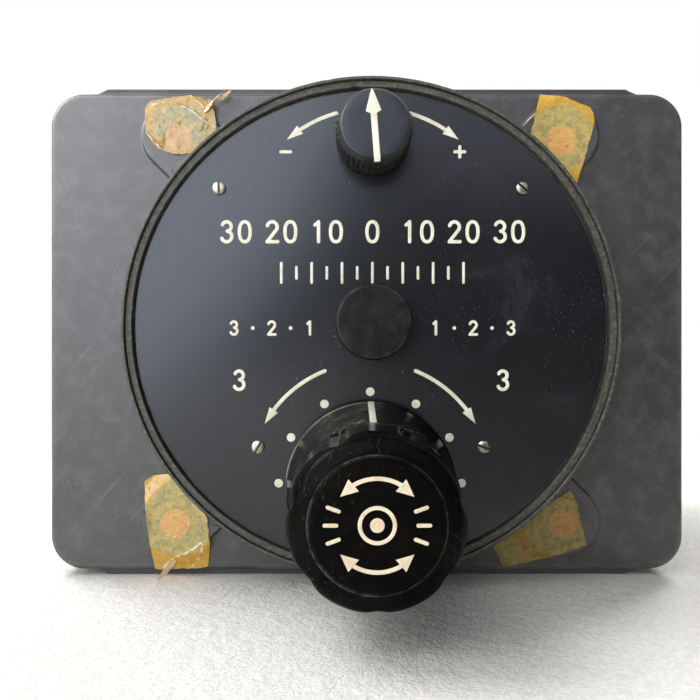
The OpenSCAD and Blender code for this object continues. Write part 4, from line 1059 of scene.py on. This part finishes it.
# Arrow on the gain knob: a bar and a head across the face, following the bevel down at both ends
def makeGainArrow():
    a, k = gainArrow, smallKnobs.gainKnob
    v = np.concatenate([np.linspace(a.tail, -8, 8), np.linspace(-6, a.notch, 8), [a.notch + 0.25, a.neck],
                        np.linspace(a.neck + 0.4, 8.3, 8), np.linspace(8.6, a.tip, 8)])
    barb = a.half + (a.headHalf - a.half) * (v - a.notch) / (a.neck - a.notch)
    half = np.where(v <= a.notch + 0.01, a.half, barb)
    half = np.where(v > a.neck, a.headHalf * (a.tip - v) / (a.tip - a.neck) + 0.03, half)
    section = np.array([(-1, 1), (-1, 0), (-0.9, -1), (-0.4, -1), (0.4, -1), (0.9, -1), (1, 0), (1, 1)])
    u, v = half[:, None] * section[:, 0], v[:, None]
    depth = smallKnobs.plate - k.height + np.clip((np.hypot(u, v) - a.flat) * a.slope, 0, a.drop)
    depth = depth + np.where(section[:, 1] > 0, a.deep, -a.proud * (section[:, 1] < 0))
    c, s = math.cos(math.radians(a.tilt)), math.sin(math.radians(a.tilt))
    flat = np.stack([k.centre[0] + u * c - v * s, k.centre[1] + u * s + v * c], -1)
    part = capped(atDepth(flat, depth), a.deep / 2)
    addPiece("gainArrow", [part], "inlayPaint", "gain", ["gain_arrow"])


for name in ("alignKnob", "gainKnob"):
    makeSmallKnob(name)
makeGainArrow()
print("small knobs made")


# Tapes over the panel holes

tapeSheet = Values(
    thick=0.11, air=0.05, steps=384, rows=72, foot=1.6, rag=0.16, fold=0.2, foldWidth=0.24,
    creaseWidth=0.26)
tapeUsual = Values(drape=3.6, lift=0.4, holeRadius=3.6, least=0, stick=1.0, folds=[], strands=[])
tapeShapes = {
    "upperLeft": Values(
        tapeUsual, corner=(-1, 1), finish="tapeBright", wrinkle=0.12, seed=3, hole=(-53.6, 53.2),
        holeRadius=3.2, lift=0.1, drape=9.0, zone=(-53.0, 56.4, 8.0, 6.4), stick=0.75,
        outline=[(-63, 61.4), (-61.3, 63.4), (-50.4, 65), (-44.2, 63.8), (-42.9, 56), (-45, 49), (-54.3, 48.3),
                 (-59.3, 50), (-62.7, 54.2)],
        folds=[((-60.4, 62.3), (-59.2, 62.7), (-56.4, 62.9), (-53.2, 62.4), (-50.4, 61.1), (-48.0, 59.3),
                (-45.6, 57.3), (-43.2, 56.1)),
               ((-62.4, 54.6), (-60.6, 52.4), (-58.4, 50.2)), ((-49.8, 64.6), (-48.0, 63.3), (-46.0, 61.2))],
        strands=[
            ([(-46.4, -0.5, 60.0), (-43.8, -1.1, 62.6), (-41.2, -1.0, 64.2), (-38.8, -0.2, 66.3)],
             0.85, 0.1, 4.0),
            ([(-46.0, -0.4, 61.2), (-43.6, -1.4, 63.0), (-41.6, -1.2, 65.2), (-39.8, -0.4, 66.6)],
             0.4, 0.1, 2.0)]),
    "upperRight": Values(
        tapeUsual, corner=(1, 1), finish="tapeMatt", wrinkle=0.05, seed=5, hole=(53.4, 52.4),
        zone=(53.5, 53.2, 9.4, 9.4),
        outline=[(47.7, 65.8), (54.2, 64.4), (61.6, 61.4), (62.6, 59.2), (62.3, 56.0), (57.9, 40.2), (52, 38),
                 (43.6, 49), (44.9, 54.4)],
        strands=[([(42.9, -0.2, 56.6), (44.2, -0.7, 58.0), (46.2, -0.4, 59.9)], 0.2, 0.12, 1.0)]),
    "lowerLeft": Values(
        tapeUsual, corner=(-1, -1), finish="tapeGlossy", wrinkle=0.08, seed=8, hole=(-54.5, -54.7),
        outline=[(-63.4, -43.2), (-62.2, -55.4), (-60.5, -68.1), (-53.6, -67.7), (-45.7, -67.4), (-44.8, -60.3),
                 (-45.4, -53.3), (-50, -44), (-56.7, -40.9), (-60.6, -41.4)],
        folds=[((-57.9, -67.5), (-56.6, -65.6), (-54.2, -64.2), (-50.6, -62.8), (-47.2, -60.2)),
               ((-48.4, -65.4), (-47.3, -63.2), (-46.6, -60.6))],
        strands=[([(-54.1, -0.6, -64.9), (-55.8, -2.2, -66.4), (-57.0, -4.0, -67.8), (-58.2, -5.6, -69.1)],
                  0.75, 0.1, 0.7)]),
    # Its finish is painted much darker, partly for dirt and partly as painted shade
    "lowerRight": Values(
        tapeUsual, corner=(1, -1), finish="tapeDull", wrinkle=0.12, seed=12, hole=(53.9, -54.5), beyond=13.6,
        least=0.5,
        outline=[(55.9, -45.4), (57.5, -48.6), (60.4, -60.7), (50.8, -64.0), (48.0, -64.9), (37.7, -67.5),
                 (34.9, -61.7), (34, -55), (52.6, -47.5)],
        folds=[((43, -60.5), (45.6, -63.5), (48.4, -65.5)), ((51.6, -46.9), (54.2, -47.3), (58, -48.4)),
               ((40.6, -57.2), (42.6, -60.0), (44.6, -63.4))]),
}


# Distance from the edge of a lug, negative on the lug
def lugDistance(x, z, corner):
    toward = -np.array(corner) / math.sqrt(2)
    dx, dz = x - corner[0] * lugShape.pitch / 2, z - corner[1] * lugShape.pitch / 2
    t, a = dx * toward[0] + dz * toward[1], dx * toward[1] - dz * toward[0]
    return np.where(t < 0, np.hypot(t, a), np.abs(a)) - lugShape.radius


# Distance to a line of points, by the nearest of its pieces, after its corners are cut three times
# at a quarter of each side
def lineDistance(x, z, line):
    line = np.asarray(line, float)
    for _ in range(3):
        step = line[1:] - line[:-1]
        cut = np.stack([line[:-1] + step * 0.25, line[:-1] + step * 0.75], 1).reshape(-1, 2)
        line = np.vstack([line[:1], cut, line[-1:]])
    best = np.full(np.shape(x), 1e9)
    for a, b in zip(line[:-1], line[1:]):
        share = np.clip(((x - a[0]) * (b - a)[0] + (z - a[1]) * (b - a)[1]) / ((b - a) @ (b - a)), 0, 1)
        best = np.minimum(best, np.hypot(x - a[0] - share * (b - a)[0], z - a[1] - share * (b - a)[1]))
    return best


# Reach of the outline from its hole in each direction: the nearest crossing with a side,
# and with the gap at the bezel
def outlineReach(place, outline, angle):
    direction = onCircle(angle)
    reach = np.full(len(angle), 1e9)
    for a, b in zip(outline, np.roll(outline, -1, axis=0)):
        side, start = b - a, a - place
        cross = direction[:, 0] * side[1] - direction[:, 1] * side[0]
        cross = np.where(np.abs(cross) < 1e-9, 1e-9, cross)
        t = (start[0] * side[1] - start[1] * side[0]) / cross
        s = (start[0] * direction[:, 1] - start[1] * direction[:, 0]) / cross
        reach = np.where((t > 0) & (s >= -1e-6) & (s <= 1 + 1e-6), np.minimum(reach, t), reach)
    toward = direction @ place
    inside = toward ** 2 - (place @ place - lugShape.cut ** 2)
    hit = -toward - np.sqrt(np.clip(inside, 0, None))
    return np.where((inside > 0) & (hit > 0), np.minimum(reach, hit), reach)


# Tape: rings from the hole out to the ragged outline; it sags into the hole, falls from the lug to the case
# face over its drape width, and rises along its folds and in places at its edge
def makeTape(t):
    s, seed = tapeSheet, t.seed
    place = np.array(t.corner) * lugShape.pitch / 2
    angle = fullTurn(s.steps)
    reach = outlineReach(place, np.array(t.outline, float), angle)
    reach = sum(np.roll(reach, i - 2) * share for i, share in enumerate(np.array([1, 3, 4, 3, 1]) / 12))
    nearX, nearZ = place[0] + np.cos(angle) * 9, place[1] + np.sin(angle) * 9
    rag = latticeNoise(nearX, nearZ, 0.9, seed) + 0.6 * latticeNoise(nearX, nearZ, 0.35, seed + 1)
    reach = reach + s.rag * rag
    share = np.linspace(0, 1, s.rows)[:, None] ** 0.9
    x, z = place[0] + np.cos(angle) * reach * share, place[1] + np.sin(angle) * reach * share
    away = lugDistance(x, z, t.corner)
    hole = np.hypot(x - t.hole[0], z - t.hole[1])
    y = -s.air - s.thick + (s.foot - 0.02) * smooth(away, -0.2, t.drape) + 0.08 * (1 - smooth(hole, 3.2, 4.6))
    sizes = (1, 2.6, 0), (0.55, 1.1, 2), (0.3, 0.5, 4)
    waves = sum(size * latticeNoise(x, z, cell, seed + i) for size, cell, i in sizes)
    y = y - t.wrinkle * (waves + 0.75)
    crease = 0 * x
    for fold in t.folds:
        near = lineDistance(x, z, fold)
        y = y - s.fold * np.exp(-(near / s.foldWidth) ** 2)
        crease = np.maximum(crease, np.exp(-(near / s.creaseWidth) ** 2))
    y = y - t.lift * np.clip(latticeNoise(x, z, 4.5, seed + 6) + 0.25, 0, 1) * smooth(share, 0.8, 1)
    top = np.stack([x, y, z], -1)
    stuck = 1 - smooth(away, -1.0, 0.4)
    if "zone" in t:
        zx, zz, rx, rz = t.zone
        stuck = 1 - smooth(np.hypot((x - zx) / rx, (z - zz) / rz), 0.82, 1.12)
    if "beyond" in t:
        stuck = np.maximum(stuck, smooth(hole, t.beyond, t.beyond + 1.4))
    stuck = np.maximum(stuck, t.least)
    centre = 1 - smooth(hole, t.holeRadius, t.holeRadius + 0.9)
    both = lambda a: np.vstack([a, a[::-1]])
    points = np.vstack([top, (top + [0, s.thick, 0])[::-1]])
    stuck = stuck * (1 - centre) * t.stick
    return grid(points, False, True, stuck=both(stuck), hole=both(centre), crease=both(crease))


# Strand: a twisted strip along a path of (x, depth, z), with a width that tapers to its ends
def strandGrid(path, width, thick, twist):
    path = np.asarray(path, float)
    fine = np.linspace(0, len(path) - 1, 28)
    whole = np.clip(fine.astype(int), 0, len(path) - 2)
    line = path[whole] + (path[whole + 1] - path[whole]) * smooth(fine - whole, 0, 1)[:, None]
    along = np.gradient(line, axis=0)
    along /= np.linalg.norm(along, axis=1, keepdims=True)
    side = np.cross(along, [0, 1, 0])
    side /= np.linalg.norm(side, axis=1, keepdims=True)
    up = np.cross(side, along)
    roll = np.linspace(0, twist, len(line))[:, None]
    size = np.sin(np.linspace(0.0, math.pi, len(line)))[:, None] ** 0.6
    a = fullTurn(8)
    u, v = np.cos(a) * width * size, np.sin(a) * thick * size
    first, second = u * np.cos(roll) - v * np.sin(roll), u * np.sin(roll) + v * np.cos(roll)
    points = line[:, None] + first[..., None] * side[:, None] + second[..., None] * up[:, None]
    return grid(points, False, True, strand=1.0)


for name, t in tapeShapes.items():
    parts = [makeTape(t)] + [strandGrid(*strand) for strand in t.strands]
    replaced = ["seal_tapes"] if name == "upperLeft" else []
    addPiece("tape" + name[0].upper() + name[1:], parts, t.finish, "case", replaced, sharp=55)
print("tapes made")


# Rear connector and its screws

rearConnector = Values(
    centre=(0.0, -22.0), seat=106.0, flange=35.0, corner=3.0, thick=3.2, thread=14.29, bore=12.6,
    start=95.0, end=127.0, pitch=1.41, depth=0.55, steps=180, opening=13.4, screwAt=13.485,
    screw=Values(seat=109.2, radius=2.4, height=1.8, slotHalf=0.3, slotDepth=0.9))


# Thread: the radius falls by depth * (1 - |2f - 1|) below the crest, where f is the fraction of
# (y / pitch - angle / turn)
def threadedBarrel():
    c = rearConnector
    start, end = c.seat + c.thick + 0.8, c.end - 0.7
    profile = [(c.bore, c.end - 0.3), (c.bore, c.start + 0.1), (c.bore + 0.1, c.start),
               (c.thread - 0.3, c.start), (c.thread - 0.02, c.start + 0.3), (c.thread - 0.02, start - 0.3)]
    profile += [(c.thread, y) for y in np.arange(start, end, c.pitch / 10)]
    profile += [(c.thread - 0.6, c.end - 0.1), (c.thread - 0.9, c.end), (c.bore + 0.3, c.end)]
    profile = np.array(profile)
    r, y = profile[:, :1], profile[:, 1:2]
    phase = (y / c.pitch - np.arange(c.steps)[None] / c.steps) % 1
    fade = smooth(y, start, start + c.pitch) * (1 - smooth(y, end - c.pitch, end))
    cut = ((r > c.thread - 0.01) & (y >= start)) * fade * c.depth * (1 - np.abs(2 * phase - 1))
    return turned(profile, c.centre, c.steps, ripple=-cut, closed=True)


# Flange: a round cornered square plate round the barrel
def flangeGrid():
    c = rearConnector
    straight = np.linspace(c.corner - c.flange / 2, c.flange / 2 - c.corner, 12)[1:-1]
    outline, normal = roundedRectangle(np.array([c.flange, c.flange]) / 2, c.corner, 10, straight, straight)
    opening = onCircle(np.arctan2(outline[:, 1], outline[:, 0])) * c.opening
    inward = lambda distance: outline - normal * distance
    front, back = c.seat, c.seat + c.thick
    rings = [(opening, front), (opening, back), (inward(1.2), back), (inward(0.4), back),
             (inward(0.12), back - 0.12), (outline, back - 0.4), (outline, front + 0.1), (inward(0.1), front)]
    flats, depths = zip(*rings)
    return grid(atDepth(np.array(flats) + c.centre, np.array(depths)[:, None]), True, True)


def makeRearConnector():
    c = rearConnector
    addPiece("connectorShell", [threadedBarrel(), flangeGrid()], "connectorMetal", "case",
             ["connector_shell"])
    places = [(i, k) for i in (-1, 1) for k in (-1, 1)]
    heads = [screwHead(c.centre + np.array([i, k]) * c.screwAt, c.screw, 0.5 + i + 2 * k, 1) for i, k in places]
    addPiece("connectorScrews", heads, "screwSteel", "case", ["connector_screws"])


makeRearConnector()
print("rear pieces made")


# Floor, camera, lamps and world; these values are metres

scenery = Values(
    floorZ=-0.0696, floorSize=4.0, eye=(-0.0062, -0.2108, -0.0065), lens=38.78, shift=(0.0029, 0.0014),
    skyAxis=(-0.75, 0.15, 0.65), skyRange=(0.2, 1.0, 0.0, 1.65), skyGloss=-0.65,
    skyColour=(1.0, 0.985, 0.955, 1.0))

# Place, size, radiance and colour of each lamp, and whether it lights colours or only the shine of surfaces
lamps = {"window": ((-0.47, -0.68, 0.37), 1.12, 4.3, (0.8, 0.87, 1.0), "glossy"),
         "corner": ((0.24, -0.68, 0.5), 0.7, 1.2, (0.84, 0.86, 1.0), "glossy"),
         "front": ((-0.25, -0.9, -0.03), 0.5, 9.5, (1.0, 0.98, 0.95), "diffuse"),
         "side": ((-0.30, -0.16, 0.25), 0.2, 20.0, (1.0, 0.95, 0.88), "glossy"),
         "back": ((-0.35, 0.15, 0.45), 0.3, 12.5, (1.0, 0.98, 0.94), "diffuse"),
         "backRight": ((0.40, 0.42, 0.36), 0.25, 20.0, (1.0, 0.98, 0.94), "diffuse")}


# Floor of pale foam; in reflections its part right of the knob is painted darker as painted shade, and far behind
# it is plain white
def makeFloor():
    half, sides = scenery.floorSize, ((-1, -1), (1, -1), (1, 1), (-1, 1))
    mesh = bpy.data.meshes.new("floor")
    mesh.from_pydata([(i * half, k * half, scenery.floorZ) for i, k in sides], [], [(0, 1, 2, 3)])
    f = Finish("floorFoam")
    x, y, z = f.axes(f.place)
    grain = f.cloud(900, 0.35, 0.65, 4, 0.7)
    f.colour = f.mix(grain, tone(238, 238, 235), tone(253, 253, 252))
    # Painted shade: seen only in reflections, the floor right of the knob and in front of it is darkened
    reflectedShade = f.rise(x, -0.03, 0.06) * f.rise(y, -0.06, -0.11) * f.add("LightPath", out="Is Glossy Ray")
    f.coat(reflectedShade * 0.8, tone(90, 88, 84))
    foam = f.shader(0.85, f.cells(260) * -1.0 + grain * 0.5, 0.8, 0.5)
    white = f.add("Emission", {"Color": (1, 1, 1, 1)})
    f.add("OutputMaterial", {0: f.add("MixShader", {0: f.rise(y, 0.02, 0.35), 1: foam, 2: white})})
    mesh.materials.append(f.material)
    addObject("floor", mesh)


def makeCamera():
    camera = bpy.data.cameras.new("camera")
    camera.lens, camera.sensor_width = scenery.lens, 36.0
    camera.shift_x, camera.shift_y = scenery.shift
    camera.clip_start = 0.01
    holder = addObject("camera", camera)
    holder.location = scenery.eye
    holder.rotation_euler = (math.pi / 2, 0, 0)
    bpy.context.scene.camera = holder


# Lamps: round areas that face the middle of the dial; power is pi * area * radiance
def makeLamps():
    for name, (place, size, radiance, colour, use) in lamps.items():
        lamp = bpy.data.lights.new(name, "AREA")
        lamp.shape, lamp.size, lamp.color = "DISK", size, colour
        lamp.energy = math.pi * math.pi * size ** 2 / 4 * radiance
        holder = addObject(name, lamp)
        holder.location = place
        holder.rotation_euler = (-Vector(place)).to_track_quat("-Z", "Y").to_euler()
        holder.visible_diffuse, holder.visible_glossy = use == "diffuse", use == "glossy"


# World: a sky that is brightest along its axis and weaker in reflections; the camera sees plain white,
# and so do reflections of what is behind the object
def makeWorld():
    world = bpy.data.worlds.new("world")
    bpy.context.scene.world = world
    world.use_nodes = True
    w = Nodes(world.node_tree)
    place = w.add("TexCoord", out="Generated")
    glossy = w.add("LightPath", out="Is Glossy Ray")
    axis = Vector(scenery.skyAxis).normalized()
    toward = w.add("VectorMath", {0: place, 1: axis}, "Value", operation="DOT_PRODUCT")
    strength = w.rise(toward, *scenery.skyRange) * (glossy * scenery.skyGloss + 1.0)
    sky = w.add("Background", {"Color": scenery.skyColour, "Strength": strength})
    white = w.add("Background", {"Color": (1, 1, 1, 1), "Strength": 1.0})
    behind = w.math("GREATER_THAN", w.axes(place)[1], 0.0)
    seen = w.add("LightPath", out="Is Camera Ray") | glossy * behind
    w.add("OutputWorld", {0: w.add("MixShader", {0: seen, 1: sky, 2: white})})


makeFloor()
makeCamera()
makeLamps()
makeWorld()
bpy.context.scene.view_settings.view_transform = "Standard"
print("scene lit")
